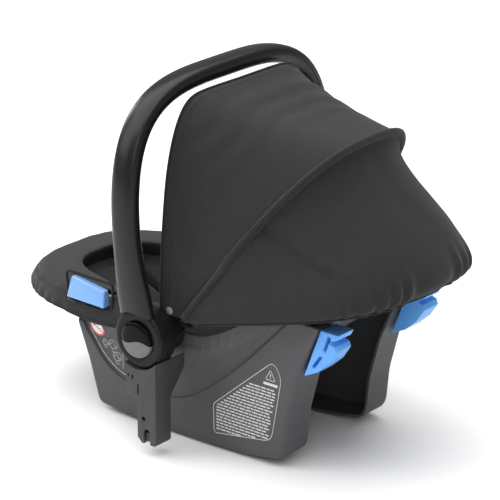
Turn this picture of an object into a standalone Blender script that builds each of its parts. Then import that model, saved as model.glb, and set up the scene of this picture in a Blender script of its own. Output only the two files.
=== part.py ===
"""Infant car seat: rear-facing carrier with handle, canopy, harness and stroller adapters.

Metres, +Z up. The foot end points to -Y, the head end to +Y, and +X is the occupant's left.
The origin lies on the floor under the centre of the bounding box. Each named piece is one solid.
"""
import math

import bmesh
import bpy
from mathutils import Matrix, Vector

# ---- clearances ----
GAP = 0.0003          # between pieces that touch
RUNNING = 0.0008      # between pieces that move on each other
LAYER_GAP = 0.0006    # between the nested soft layers of the seat
RIM_STANDOFF = 0.0014   # between the shell rim and the cover over it
HEM_STANDOFF = 0.0034  # between the shell and the cover's loose hem

# ---- seat shell (distances along Y are measured from the hub) ----
HUB_Y = -0.0388
RIM_FOOT_Y = -0.311
RIM_HEAD_Y = 0.288
RIM_HALF_WIDTH = 0.1455
RIM_END_NARROWING = 0.010
RIM_SQUARENESS = 3.2
RIM_FOOT_Z = 0.198
RIM_HEAD_Z = 0.325
PAN_FRONT_Y = -0.135
PAN_REAR_Y = 0.030
WALL_SPLAY = 0.0475            # rim wider than the pan by this on each side
PAN_HALF_WIDTH = RIM_HALF_WIDTH - WALL_SPLAY
PAN_Z = 0.048
WALL_KNEE = 0.72               # share of the height where the slope turns upright
SHELL_WALL = 0.0035
FOAM_THICKNESS = 0.010
FOAM_DROP = 0.004              # foam edge below the shell rim
COVER_THICKNESS = 0.005
CUSHION_THICKNESS = 0.016
BOLSTER_X = 0.058              # seam between the middle strip and the side bolsters
COVER_HEM_BAND = 0.0045
COVER_ROLL = 0.009
AROUND = 44                    # points around each shell ring

# ---- base skids ----
SKID_WIDTH = 0.057
SKID_TUCK = 0.0165             # outer faces this far inside the rim
SKID_OUTER_X = RIM_HALF_WIDTH - SKID_TUCK
SKID_INNER_X = SKID_OUTER_X - SKID_WIDTH
SKID_WALL = 0.004
ROCKER_CENTRE_Y = -0.022
ROCKER_RADIUS = 0.80
ROCKER_FLAT = 0.082            # half length of the flat that carries the seat
SKID_FRONT_Y = -0.158
SKID_REAR_Y = 0.200
SKID_TOP_Z = RIM_HEAD_Z - 0.079
LABEL_THICKNESS = 0.0005

# ---- handle hubs, seated on the sides of the shell ----
SIDE_X = RIM_HALF_WIDTH + 0.001
HUB_Z = 0.181
HUB_RADIUS = 0.045
HUB_STANDOFF = 0.0305          # from the shell's side to the drum
HUB_DEPTH = 0.036
HUB_WEB = 0.0095               # drum wall that turns on the pin
HUB_INNER_X = SIDE_X + HUB_STANDOFF
HUB_OUTER_X = HUB_INNER_X + HUB_DEPTH
HUB_PLATE_RADIUS = 0.034
BUTTON_RADIUS = 0.028
BUTTON_PROUD = 0.007
BUTTON_LENGTH = 0.016
BUTTON_FACE_X = HUB_OUTER_X + BUTTON_PROUD
BUTTON_BACK_X = BUTTON_FACE_X - BUTTON_LENGTH
LOCK_GEAR_RADIUS = 0.022
LOCK_GEAR_LENGTH = 0.004
SPRING_RADIUS = 0.0175
PIVOT_RADIUS = 0.006

# ---- handle ----
HANDLE_FOOT_X = HUB_OUTER_X - 0.011        # centre line where the leg meets the hub
HANDLE_HEIGHT = 0.364                      # centre line over the hub axis
HANDLE_BELLY = (HANDLE_FOOT_X + 0.078, HANDLE_HEIGHT + 0.009)   # control point that swells the legs
HANDLE_SHOULDER = (HANDLE_FOOT_X - 0.059, HANDLE_HEIGHT)
HANDLE_LEAN = math.radians(2.6)
HANDLE_WIDTH = 0.043                       # fore and aft
HANDLE_DEPTH = 0.029                       # across the bend
HANDLE_SQUARENESS = 2.7
HANDLE_WALL = 0.0035

# ---- canopy ----
CANOPY_PIVOT_Y = 0.045
CANOPY_PIVOT_Z = HUB_Z + 0.024
CANOPY_TOP_Z = HUB_Z + HANDLE_HEIGHT - HANDLE_DEPTH / 2 - 0.0075   # clear under the handle
CANOPY_HALF_WIDTH = SIDE_X + 0.025
FABRIC = 0.002
BOW_WIDTH = 0.010
BOW_THICKNESS = 0.004
BRACKET_RADIUS = 0.013
BRACKET_PLATE = 0.0035
MID_BOW_X = SIDE_X + BRACKET_PLATE + 0.0005 + BOW_THICKNESS / 2
FRONT_BOW_X = MID_BOW_X + BOW_THICKNESS + 0.001
BOW_PIN_RADIUS = 0.0036
BOW_EYE_RADIUS = 0.009
CANOPY_FAN_START = 0.035       # the panels start this far from the pivot

# ---- vehicle belt guides and hooks ----
GUIDE_FRONT_Y = -0.183
GUIDE_REAR_Y = -0.117
GUIDE_LOW_Z = RIM_FOOT_Z - 0.006
GUIDE_HIGH_Z = RIM_FOOT_Z + 0.023
GUIDE_WEB_Z = RIM_FOOT_Z + 0.004           # the belt passes under this
GUIDE_INNER_X = SIDE_X + 0.007
GUIDE_OUTER_X = SIDE_X + 0.016
HOOK_INNER_X = SKID_OUTER_X - 0.041
HOOK_OUTER_X = SKID_OUTER_X - 0.005

# ---- harness ----
WEBBING = 0.0018
WEBBING_WIDTH = 0.030
SHOULDER_WIDTH = 0.022
SHOULDER_X = 0.034
SHOULDER_UP = 0.182            # distances up the padded back
PAD_LENGTH = 0.044
PAD_WIDTH = 0.044
BUCKLE_UP = 0.012
BUCKLE_OUT = 0.012
BUCKLE_WIDTH = 0.052
BUCKLE_HEIGHT = 0.060
BUCKLE_DEPTH = 0.020
PRESS_WIDTH = 0.027            # red button in the buckle
PRESS_HEIGHT = 0.024
TONGUE_THICKNESS = 0.0022
TONGUE_TRAVEL = 0.012

# ---- stroller adapters ----
ADAPTER_INNER_X = SIDE_X + 0.0035
ADAPTER_OUTER_X = HUB_OUTER_X + 0.0025
ADAPTER_FRONT_Y = -0.019
ADAPTER_REAR_Y = 0.036
ADAPTER_TOP_Z = HUB_Z - 0.031
ADAPTER_STEP_Z = HUB_Z - 0.092
ADAPTER_CRADLE_GAP = 0.0015    # under the hub drum
ADAPTER_TONGUE_FRONT_Y = 0.000
ADAPTER_TONGUE_DEPTH = 0.0335
ADAPTER_TONGUE_INNER_X = ADAPTER_OUTER_X - ADAPTER_TONGUE_DEPTH
ADAPTER_TONGUE_Z = HUB_Z - 0.161
ADAPTER_SLOT_WIDTH = 0.012
ADAPTER_SLOT_TOP_Z = ADAPTER_TONGUE_Z + 0.024

SIDES = (("left", 1), ("right", -1))

MATERIALS = {
    "shell_plastic": ((0.085, 0.087, 0.090), 0.55, 0.0),
    "handle_plastic": ((0.022, 0.022, 0.023), 0.36, 0.0),
    "hub_plastic": ((0.060, 0.061, 0.063), 0.42, 0.0),
    "gloss_black": ((0.010, 0.010, 0.011), 0.12, 0.0),
    "adapter_plastic": ((0.055, 0.056, 0.058), 0.60, 0.0),
    "blue_plastic": ((0.090, 0.310, 0.860), 0.38, 0.0),
    "red_plastic": ((0.620, 0.030, 0.025), 0.35, 0.0),
    "steel": ((0.560, 0.570, 0.580), 0.30, 1.0),
    "foam": ((0.780, 0.780, 0.760), 0.90, 0.0),
    "canopy_fabric": ((0.016, 0.016, 0.017), 0.92, 0.0),
    "cover_fabric": ((0.024, 0.024, 0.026), 0.90, 0.0),
    "webbing": ((0.030, 0.030, 0.032), 0.80, 0.0),
    "label": ((0.760, 0.770, 0.780), 0.50, 0.0),
}


# ---------------------------------------------------------------- helpers

def clear_scene():
    """Remove every object of the open file."""
    for obj in list(bpy.data.objects):
        bpy.data.objects.remove(obj, do_unlink=True)


def get_material(name):
    """Return the named Principled material, made on first use."""
    found = bpy.data.materials.get(name)
    if found:
        return found
    colour, roughness, metallic = MATERIALS[name]
    made = bpy.data.materials.new(name)
    made.use_nodes = True
    shader = made.node_tree.nodes["Principled BSDF"]
    shader.inputs["Base Color"].default_value = (*colour, 1.0)
    shader.inputs["Roughness"].default_value = roughness
    shader.inputs["Metallic"].default_value = metallic
    return made


def add_object(name, bm, material, pivot=(0.0, 0.0, 0.0)):
    """Store a bmesh as a named object whose origin is the given pivot."""
    bmesh.ops.remove_doubles(bm, verts=bm.verts, dist=1e-6)
    bmesh.ops.recalc_face_normals(bm, faces=bm.faces)
    bmesh.ops.translate(bm, verts=bm.verts, vec=-Vector(pivot))
    mesh = bpy.data.meshes.new(name)
    bm.to_mesh(mesh)
    bm.free()
    mesh.materials.append(get_material(material))
    mesh.shade_smooth()
    mesh.set_sharp_from_angle(angle=math.radians(32.0))
    obj = bpy.data.objects.new(name, mesh)
    obj.location = pivot
    bpy.context.collection.objects.link(obj)
    return obj


def cut(target, cutter_bm, operation="DIFFERENCE"):
    """Cut a solid out of target, or join it, with an exact Boolean."""
    index = len(target.modifiers)
    mesh = bpy.data.meshes.new(f"{target.name}_tool_{index}")
    bmesh.ops.recalc_face_normals(cutter_bm, faces=cutter_bm.faces)
    cutter_bm.to_mesh(mesh)
    cutter_bm.free()
    cutter = bpy.data.objects.new(mesh.name, mesh)
    cutter.hide_render = True
    cutter.display_type = "WIRE"
    bpy.context.collection.objects.link(cutter)
    modifier = target.modifiers.new(f"{operation.lower()}_{index}", "BOOLEAN")
    modifier.operation = operation
    modifier.object = cutter


def loft(rings, closed=False, turn_back=None):
    """Skin equal rings of points into one solid, with flat ends unless it closes on itself.

    With turn_back, the four-sided faces are split so that the skin that goes up to ring turn_back
    and the skin that comes down after it share the same diagonals, and nested layers stay apart.
    """
    bm = bmesh.new()
    rows = [[bm.verts.new(point) for point in ring] for ring in rings]
    count = len(rows[0])
    pairs = list(zip(rows, rows[1:]))
    if closed:
        pairs.append((rows[-1], rows[0]))
    for step, (low, high) in enumerate(pairs):
        for i in range(count):
            j = (i + 1) % count
            if turn_back is None:
                bm.faces.new((low[i], low[j], high[j], high[i]))
            elif step < turn_back:
                bm.faces.new((low[i], low[j], high[j]))
                bm.faces.new((low[i], high[j], high[i]))
            else:
                bm.faces.new((low[i], low[j], high[i]))
                bm.faces.new((low[j], high[j], high[i]))
    if not closed:
        bm.faces.new(rows[0][::-1])
        bm.faces.new(rows[-1])
    return bm


def prism_x(outline, x_low, x_high):
    """Extrude a (Y, Z) outline along X."""
    bm = bmesh.new()
    face = bm.faces.new([bm.verts.new((x_low, y, z)) for y, z in outline])
    grown = bmesh.ops.extrude_face_region(bm, geom=[face])
    moved = [item for item in grown["geom"] if isinstance(item, bmesh.types.BMVert)]
    bmesh.ops.translate(bm, verts=moved, vec=(x_high - x_low, 0.0, 0.0))
    return bm


def box(low, high):
    """Axis-aligned box between two corners."""
    outline = [(low[1], low[2]), (high[1], low[2]), (high[1], high[2]), (low[1], high[2])]
    return prism_x(outline, low[0], high[0])


def cylinder_x(centre_y, centre_z, radius, x_low, x_high, segments=40):
    """Cylinder whose axis runs along X."""
    bm = bmesh.new()
    middle = Vector(((x_low + x_high) / 2, centre_y, centre_z))
    turn = Matrix.Rotation(math.radians(90), 4, "Y")
    bmesh.ops.create_cone(bm, cap_ends=True, segments=segments, radius1=radius, radius2=radius,
                          depth=abs(x_high - x_low), matrix=Matrix.Translation(middle) @ turn)
    return bm


def turned_x(profile, centre_y, centre_z, segments=40):
    """Turn a closed (X, radius) profile about an axis along X."""
    rings = []
    for x, radius in profile:
        rings.append([(x, centre_y + radius * math.cos(a), centre_z + radius * math.sin(a))
                      for a in (2 * math.pi * i / segments for i in range(segments))])
    return loft(rings, closed=True)


def ordered(side, first, second):
    """Two X values mirrored to one side, lowest first."""
    return sorted((side * first, side * second))


def signed_power(value, power):
    return math.copysign(abs(value) ** power, value)


def smooth_step(value):
    value = min(1.0, max(0.0, value))
    return value * value * (3 - 2 * value)


def rounded_outline(corners, steps=4):
    """Round each (y, z, radius) corner of an outline with a small arc."""
    outline = []
    total = len(corners)
    for i, (y, z, radius) in enumerate(corners):
        here = Vector((y, z))
        if radius == 0:
            outline.append((y, z))
            continue
        before = (Vector(corners[i - 1][:2]) - here).normalized()
        after = (Vector(corners[(i + 1) % total][:2]) - here).normalized()
        half = before.angle(after) / 2
        start = here + before * radius / math.tan(half)
        end = here + after * radius / math.tan(half)
        centre = here + (before + after).normalized() * radius / math.sin(half)
        first = start - centre
        turn = first.angle_signed(end - centre)
        for k in range(steps + 1):
            arm = first.copy()
            arm.rotate(Matrix.Rotation(-turn * k / steps, 2))
            outline.append(tuple(centre + arm))
    return outline


# ---------------------------------------------------------------- seat shell and soft layers

def shell_point(turn, height, inset=0.0, lift=0.0):
    """Point of the seat bucket: turn around it, height from the pan (0) to the rim (1)."""
    across = signed_power(math.cos(turn), 2 / RIM_SQUARENESS)
    along = signed_power(math.sin(turn), 2 / RIM_SQUARENESS)
    rim_half = (RIM_HEAD_Y - RIM_FOOT_Y) / 2 - inset
    rim_y = (RIM_HEAD_Y + RIM_FOOT_Y) / 2 + rim_half * along
    narrowing = RIM_END_NARROWING * (rim_y / RIM_HEAD_Y) ** 2
    rim_x = (RIM_HALF_WIDTH - narrowing - inset) * across
    rise = smooth_step((rim_y - CANOPY_PIVOT_Y) / (RIM_HEAD_Y - CANOPY_PIVOT_Y))
    rim_z = RIM_FOOT_Z + (RIM_HEAD_Z - RIM_FOOT_Z) * rise
    pan_half = (PAN_REAR_Y - PAN_FRONT_Y) / 2 - inset / 2
    pan_y = (PAN_REAR_Y + PAN_FRONT_Y) / 2 + pan_half * along
    pan_x = (PAN_HALF_WIDTH - inset) * across
    pan_z = PAN_Z + inset
    corner = 0.03 * math.exp(-((height - WALL_KNEE) / 0.10) ** 2)
    spread = min(height / WALL_KNEE, 1.0) - corner * min(1.0, height / 0.2)
    x = pan_x + (rim_x - pan_x) * spread
    y = pan_y + (rim_y - pan_y) * spread
    z = pan_z + (rim_z - pan_z) * height + lift
    return Vector((x, HUB_Y + y, z))


def shell_ring(height, inset=0.0, lift=0.0):
    """One closed ring of the bucket. Height may be a function of the turn."""
    ring = []
    for i in range(AROUND):
        turn = 2 * math.pi * i / AROUND
        level = height(turn) if callable(height) else height
        ring.append(shell_point(turn, level, inset, lift))
    return ring


WALL_LEVELS = (0.0, 0.20, 0.45, 0.62, 0.72, 0.82, 1.0)


def bowl(inset_out, inset_in, top_drop=0.0, levels=WALL_LEVELS):
    """Open bowl between two insets of the bucket, its rim lowered by top_drop."""
    drops = [0.0] * (len(levels) - 1) + [top_drop]
    rings = [shell_ring(level, inset_out, -drop) for level, drop in zip(levels, drops)]
    rings += [shell_ring(level, inset_in, -drop) for level, drop in reversed(list(zip(levels, drops)))]
    return loft(rings, turn_back=len(levels) - 1)


def solid_bowl(inset, lift_top=0.05):
    """The bucket's outer volume as a plug, used to cut what lies under it."""
    rings = [shell_ring(level, inset) for level in WALL_LEVELS]
    rings.append(shell_ring(1.0, inset, lift_top))
    return loft(rings, turn_back=len(rings))


FOAM_OUT = SHELL_WALL + LAYER_GAP
FOAM_IN = FOAM_OUT + FOAM_THICKNESS
COVER_OUT = FOAM_IN + LAYER_GAP
COVER_IN = COVER_OUT + COVER_THICKNESS
CUSHION_OUT = COVER_IN + LAYER_GAP
CUSHION_IN = CUSHION_OUT + CUSHION_THICKNESS


def hem_level(turn):
    """Height share of the cover's lower hem: low at the foot end, just under the rim elsewhere."""
    y = shell_point(turn, 1.0).y - HUB_Y
    return 0.66 + 0.24 * smooth_step((y + 0.09) / 0.08)


def hem_share(share):
    """Level function that goes from the rim (0) down to the hem (1)."""
    return lambda turn: 1.0 + (hem_level(turn) - 1.0) * share


def build_shell():
    """Bucket, its foam liner and the two soft layers inside it."""
    add_object("seat_shell", bowl(0.0, SHELL_WALL), "shell_plastic")
    add_object("foam_liner", bowl(FOAM_OUT, FOAM_IN, FOAM_DROP), "foam")
    inside = [shell_ring(level, COVER_OUT) for level in WALL_LEVELS[:-1]]
    over = [shell_ring(1.0, COVER_OUT, RIM_STANDOFF), shell_ring(1.0, -HEM_STANDOFF, RIM_STANDOFF)]
    down = [shell_ring(hem_share(share), -HEM_STANDOFF) for share in (0.25, 0.5, 0.75, 1.0)]
    band = HEM_STANDOFF + COVER_HEM_BAND
    up = [shell_ring(hem_share(share), -band) for share in (1.0, 0.75, 0.5, 0.25)]
    roll = [shell_ring(1.0, -band, 0.3 * COVER_ROLL), shell_ring(1.0, 0.2 * COVER_IN, COVER_ROLL),
            shell_ring(1.0, 0.8 * COVER_IN, 0.8 * COVER_ROLL)]
    back_in = [shell_ring(level, COVER_IN) for level in reversed(WALL_LEVELS[:-1])]
    skin = loft(inside + over + down + up + roll + back_in, turn_back=len(inside + over + down))
    cover = add_object("seat_cover", skin, "cover_fabric")
    for _, side in SIDES:
        low, high = ordered(side, SIDE_X - 0.005, HUB_INNER_X)
        window = box((low, HUB_Y - HUB_PLATE_RADIUS - 0.004, HUB_Z - 0.05),
                     (high, HUB_Y + CANOPY_PIVOT_Y + BRACKET_RADIUS + 0.003,
                      CANOPY_PIVOT_Z + BRACKET_RADIUS + 0.003))
        cut(cover, window)
        cut(cover, belt_guide_room(side))
    build_cushions()


def build_cushions():
    """Padded lining in three sewn parts: a middle strip with seat and back, and a bolster each side."""
    low_z = PAN_Z
    high_z = RIM_HEAD_Z + 0.02
    far = RIM_HALF_WIDTH + 0.02
    for name, low_x, high_x in (("seat_cushion", -BOLSTER_X, BOLSTER_X),
                                ("side_cushion_left", BOLSTER_X + GAP, far),
                                ("side_cushion_right", -far, -BOLSTER_X - GAP)):
        lining = bowl(CUSHION_OUT, CUSHION_IN, levels=WALL_LEVELS[:-1])
        cushion = add_object(name, lining, "cover_fabric")
        room = box((low_x, HUB_Y + RIM_FOOT_Y, low_z), (high_x, HUB_Y + RIM_HEAD_Y, high_z))
        cut(cushion, room, "INTERSECT")


# ---------------------------------------------------------------- base skids

def rocker_z(y):
    """Height of the skid's underside, a large arc with a flat in its middle."""
    def arc(distance):
        return ROCKER_RADIUS - math.sqrt(ROCKER_RADIUS ** 2 - distance ** 2)
    return max(0.0, arc(abs(y - ROCKER_CENTRE_Y)) - arc(ROCKER_FLAT))


def skid_outline():
    """Side outline of a skid, from its front foot round to the ledge over it."""
    outline = rounded_outline([
        (SKID_FRONT_Y, rocker_z(SKID_FRONT_Y), 0.012),
        (ROCKER_CENTRE_Y - ROCKER_FLAT, 0.0, 0.0),
        (ROCKER_CENTRE_Y + ROCKER_FLAT, 0.0, 0.0),
        (0.132, rocker_z(0.132), 0.0),
        (SKID_REAR_Y + 0.004, rocker_z(SKID_REAR_Y), 0.020),
        (0.211, 0.083, 0.0),
        (0.229, SKID_TOP_Z - 0.096, 0.0),
        (0.268, SKID_TOP_Z - 0.006, 0.006),
        (0.221, SKID_TOP_Z, 0.0),
        (0.144, SKID_TOP_Z - 0.082, 0.0),
        (0.094, 0.118, 0.0),
        (0.047, 0.082, 0.0),
        (0.010, 0.062, 0.0),
        (-0.040, 0.055, 0.0),
        (-0.095, 0.058, 0.0),
        (-0.135, 0.074, 0.0),
        (-0.165, 0.106, 0.0),
        (-0.180, 0.139, 0.0),
        (-0.197, 0.139, 0.0),
    ])
    return [(HUB_Y + y, z) for y, z in outline]


def skid_pocket():
    """Outline of the hollow that opens into the tunnel between the skids."""
    corners = [(-0.136, 0.012), (0.178, 0.022), (0.206, SKID_TOP_Z - 0.096),
               (0.232, SKID_TOP_Z - 0.024), (0.150, SKID_TOP_Z - 0.096), (0.060, 0.074),
               (-0.090, 0.046), (-0.140, 0.060)]
    return [(HUB_Y + y, z) for y, z in corners]


def build_skids():
    """Two rocker skids that carry the bucket."""
    for name, side in SIDES:
        low, high = ordered(side, SKID_INNER_X, SKID_OUTER_X)
        skid = add_object(f"skid_{name}", prism_x(skid_outline(), low, high), "shell_plastic")
        cut(skid, solid_bowl(-GAP))
        low, high = ordered(side, SKID_INNER_X - 0.01, SKID_OUTER_X - SKID_WALL)
        cut(skid, prism_x(skid_pocket(), low, high))
        mark_low, mark_high = ordered(side, SKID_OUTER_X + GAP, SKID_OUTER_X + GAP + LABEL_THICKNESS)
        label = rounded_outline([(0.077, 0.024, 0.006), (0.186, 0.042, 0.008),
                                 (0.205, SKID_TOP_Z - 0.106, 0.010), (0.192, SKID_TOP_Z - 0.088, 0.008),
                                 (0.073, 0.070, 0.006)])
        add_object(f"care_label_{name}", prism_x([(HUB_Y + y, z) for y, z in label], mark_low, mark_high),
                   "label")


# ---------------------------------------------------------------- vehicle belt guides and hooks

def guide_outline(low_z):
    """Side outline of the lap belt guide."""
    return [(HUB_Y + y, z) for y, z in ((GUIDE_FRONT_Y, low_z), (GUIDE_REAR_Y, low_z - 0.004),
                                        (GUIDE_REAR_Y + 0.006, low_z + 0.012),
                                        (GUIDE_REAR_Y - 0.002, GUIDE_HIGH_Z - 0.008),
                                        (GUIDE_FRONT_Y + 0.010, GUIDE_HIGH_Z),
                                        (GUIDE_FRONT_Y - 0.004, low_z + 0.014))]


def belt_guide_room(side):
    """Space that the cover leaves around a lap belt guide."""
    low, high = ordered(side, SIDE_X - 0.003, GUIDE_OUTER_X + 0.01)
    return box((low, HUB_Y + GUIDE_FRONT_Y - 0.006, GUIDE_LOW_Z - 0.020),
               (high, HUB_Y + GUIDE_REAR_Y + 0.008, GUIDE_HIGH_Z + 0.004))


def hook_outline():
    """Side outline of the rear belt hook, two lobes with a notch between them."""
    corners = [(0.2385, 0.088), (0.262, 0.077), (0.283, 0.058), (0.296, 0.038), (0.293, 0.030),
               (0.284, 0.027), (0.284, 0.023), (0.296, 0.020), (0.300, 0.011), (0.268, 0.010)]
    return [(HUB_Y + y, SKID_TOP_Z - below) for y, below in corners]


def build_belt_paths():
    """Blue lap belt guides on the rim and blue hooks on the skids' rear edges."""
    for name, side in SIDES:
        low, high = ordered(side, GUIDE_INNER_X, GUIDE_OUTER_X)
        guide = add_object(f"belt_guide_{name}", prism_x(guide_outline(GUIDE_LOW_Z), low, high),
                           "blue_plastic")
        low, high = ordered(side, SIDE_X + 0.0005, GUIDE_INNER_X + 0.001)
        cut(guide, prism_x(guide_outline(GUIDE_WEB_Z), low, high), "UNION")
        low, high = ordered(side, HOOK_INNER_X, HOOK_OUTER_X)
        hook = add_object(f"belt_hook_{name}", prism_x(hook_outline(), low, high), "blue_plastic")
        inner, outer = ordered(side, HOOK_OUTER_X - 0.012, HOOK_OUTER_X + 0.006)
        for low_end, high_end in (((0.252, 0.070), (0.266, 0.050)), ((0.272, 0.040), (0.280, 0.016))):
            slot = [low_end, (low_end[0] + 0.005, low_end[1] + 0.002),
                    (high_end[0] + 0.005, high_end[1] + 0.002), high_end]
            cut(hook, prism_x([(HUB_Y + y, SKID_TOP_Z - below) for y, below in slot], inner, outer))
        cut(hook, skid_clearance(side))
        cut(hook, solid_bowl(-2 * GAP))


def skid_clearance(side):
    """The skid's side outline, grown a little, so that the hook seats on its rear edge."""
    grown = [(y + 0.0006, z) for y, z in skid_outline()]
    low, high = ordered(side, SKID_INNER_X - 0.002, SKID_OUTER_X + 0.002)
    return prism_x(grown, low, high)


# ---------------------------------------------------------------- hubs and handle

def build_hubs():
    """Fixed hub plates with their pins, and the turning drums, buttons, gears and springs."""
    for name, side in SIDES:
        plate = [(side * SIDE_X, PIVOT_RADIUS + GAP), (side * SIDE_X, HUB_PLATE_RADIUS),
                 (side * (HUB_INNER_X - RUNNING), HUB_PLATE_RADIUS),
                 (side * (HUB_INNER_X - RUNNING), PIVOT_RADIUS + GAP)]
        add_object(f"hub_plate_{name}", turned_x(plate, HUB_Y, HUB_Z, 28), "hub_plastic")
        web_x = HUB_INNER_X + HUB_WEB
        pin_low, pin_high = ordered(side, SIDE_X, web_x - GAP)
        add_object(f"pivot_pin_{name}", cylinder_x(HUB_Y, HUB_Z, PIVOT_RADIUS, pin_low, pin_high, 16),
                   "steel")
        bore = BUTTON_RADIUS + RUNNING
        drum = [(HUB_INNER_X, PIVOT_RADIUS + GAP), (HUB_INNER_X, HUB_RADIUS - 0.002),
                (HUB_INNER_X + 0.002, HUB_RADIUS), (HUB_OUTER_X - 0.004, HUB_RADIUS),
                (HUB_OUTER_X - 0.001, HUB_RADIUS - 0.003), (HUB_OUTER_X, HUB_RADIUS - 0.007),
                (HUB_OUTER_X, bore), (web_x, bore), (web_x, PIVOT_RADIUS + GAP)]
        drum = [(side * x, radius) for x, radius in drum]
        add_object(f"handle_hub_{name}", turned_x(drum, HUB_Y, HUB_Z, 36), "hub_plastic",
                   (0.0, HUB_Y, HUB_Z))
        build_release_button(name, side)


def build_release_button(name, side):
    """Handle release button with its lock gear and return spring."""
    place = (side * BUTTON_FACE_X, HUB_Y, HUB_Z)
    rings = []
    for x, radius in ((BUTTON_BACK_X, BUTTON_RADIUS), (BUTTON_FACE_X - 0.0015, BUTTON_RADIUS),
                      (BUTTON_FACE_X, BUTTON_RADIUS - 0.002)):
        rings.append([(side * x, HUB_Y + radius * math.cos(a), HUB_Z + radius * math.sin(a))
                      for a in (2 * math.pi * i / 28 for i in range(28))])
    add_object(f"release_button_{name}", loft(rings), "gloss_black", place)
    gear_back = BUTTON_BACK_X - LOCK_GEAR_LENGTH - GAP
    gear = toothed_ring(side * gear_back, side * (BUTTON_BACK_X - GAP), 0.012, LOCK_GEAR_RADIUS)
    add_object(f"lock_gear_{name}", gear, "steel", place)
    spring_back = HUB_INNER_X + HUB_WEB + GAP
    spring_front = gear_back - GAP
    spring = [(side * x, radius) for x, radius in ((spring_back, SPRING_RADIUS - 0.003),
                                                   (spring_back, SPRING_RADIUS),
                                                   (spring_front, SPRING_RADIUS),
                                                   (spring_front, SPRING_RADIUS - 0.003))]
    add_object(f"button_spring_{name}", turned_x(spring, HUB_Y, HUB_Z, 24), "steel")


def toothed_ring(x_one, x_two, bore, radius, teeth=12):
    """Ring with square teeth, its axis along X through the hub."""
    rings = []
    for x, inner in ((x_one, True), (x_one, False), (x_two, False), (x_two, True)):
        ring = []
        for i in range(teeth * 4):
            angle = 2 * math.pi * (i + 0.5) / (teeth * 4)
            reach = bore if inner else (radius if i % 4 < 2 else radius - 0.003)
            ring.append((x, HUB_Y + reach * math.cos(angle), HUB_Z + reach * math.sin(angle)))
        rings.append(ring)
    return loft(rings, closed=True)


def handle_centre(share):
    """Centre line of the left half of the handle: 0 at the hub, 1 at the top."""
    points = ((HANDLE_FOOT_X, 0.0), HANDLE_BELLY, HANDLE_SHOULDER, (0.0, HANDLE_HEIGHT))
    weights = ((1 - share) ** 3, 3 * share * (1 - share) ** 2, 3 * share ** 2 * (1 - share), share ** 3)
    x = sum(weight * point[0] for weight, point in zip(weights, points))
    height = sum(weight * point[1] for weight, point in zip(weights, points))
    return Vector((x, height))


def handle_section(share, side, outer_half):
    """Half section of the grip at one place, on the outer or the inner side of the bend."""
    here = handle_centre(share)
    ahead = handle_centre(min(1.0, share + 0.005)) - handle_centre(max(0.0, share - 0.005))
    ahead.normalize()
    outward = Vector((ahead.y, -ahead.x)) * (1 if outer_half else -1)
    count = 7
    skins = [(HANDLE_WIDTH / 2, HANDLE_DEPTH / 2, range(count)),
             (HANDLE_WIDTH / 2 - HANDLE_WALL, HANDLE_DEPTH / 2 - HANDLE_WALL, reversed(range(count)))]
    ring = []
    for half_width, half_depth, order in skins:
        for i in order:
            angle = math.pi * i / (count - 1)
            bulge = abs(math.sin(angle)) ** (2 / HANDLE_SQUARENESS) if 0 < i < count - 1 else 0.0
            width = half_width * signed_power(math.cos(angle), 2 / HANDLE_SQUARENESS)
            place = here + outward * (half_depth * bulge + GAP / 2)
            y = HUB_Y + width * math.cos(HANDLE_LEAN) - place.y * math.sin(HANDLE_LEAN)
            z = HUB_Z + place.y * math.cos(HANDLE_LEAN) + width * math.sin(HANDLE_LEAN)
            ring.append((side * place.x, y, z))
    return ring


def build_handle():
    """Two half shells of the carrying handle, seated on the hub drums."""
    steps = 22
    first = (HUB_RADIUS - 0.0035) / (3 * HANDLE_BELLY[1])      # the legs start just inside the drums
    for label, outer_half in (("outer", True), ("inner", False)):
        shares = [first + (1 - first) * i / steps for i in range(steps + 1)]
        rings = [handle_section(share, 1, outer_half) for share in shares]
        rings += [handle_section(share, -1, outer_half) for share in reversed(shares[:-1])]
        handle = add_object(f"handle_{label}_shell", loft(rings), "handle_plastic", (0.0, HUB_Y, HUB_Z))
        for _, side in SIDES:
            low, high = ordered(side, HUB_INNER_X - 0.01, HUB_OUTER_X + 0.02)
            cut(handle, cylinder_x(HUB_Y, HUB_Z, HUB_RADIUS + GAP, low, high, 36))


# ---------------------------------------------------------------- canopy

class Arch:
    """Hoop of the canopy: a squared arc that rises from both sides of a pivot line to an apex."""

    def __init__(self, centre, apex, half_width, squareness):
        self.centre = Vector(centre)
        self.apex = Vector(apex)
        self.half_width = half_width
        self.squareness = squareness

    def point(self, turn):
        """Point on the hoop; turn runs from 0 on the left to pi on the right."""
        x = self.half_width * signed_power(math.cos(turn), 2 / self.squareness)
        reach = abs(math.sin(turn)) ** (2 / self.squareness)
        y, z = self.centre + (self.apex - self.centre) * reach
        return Vector((x, HUB_Y + y, z))


CANOPY_PIVOT = (CANOPY_PIVOT_Y, CANOPY_PIVOT_Z)
FRONT_HEM = Arch((CANOPY_PIVOT_Y - 0.027, CANOPY_PIVOT_Z - 0.005), (0.004, CANOPY_TOP_Z),
                 CANOPY_HALF_WIDTH, 2.3)
MID_RIDGE = Arch(CANOPY_PIVOT, (0.255, CANOPY_TOP_Z - 0.036), CANOPY_HALF_WIDTH, 2.5)
BULGE_HIGH = Arch(CANOPY_PIVOT, (0.375, CANOPY_TOP_Z - 0.093), CANOPY_HALF_WIDTH + 0.006, 2.8)
BULGE_LOW = Arch(CANOPY_PIVOT, (RIM_HEAD_Y + 0.178, RIM_HEAD_Z - 0.050), CANOPY_HALF_WIDTH + 0.004, 3.2)
REAR_HEM = Arch((CANOPY_PIVOT_Y, CANOPY_PIVOT_Z - 0.002), (RIM_HEAD_Y + 0.037, RIM_HEAD_Z - 0.081),
                CANOPY_HALF_WIDTH - 0.004, 3.5)


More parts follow.
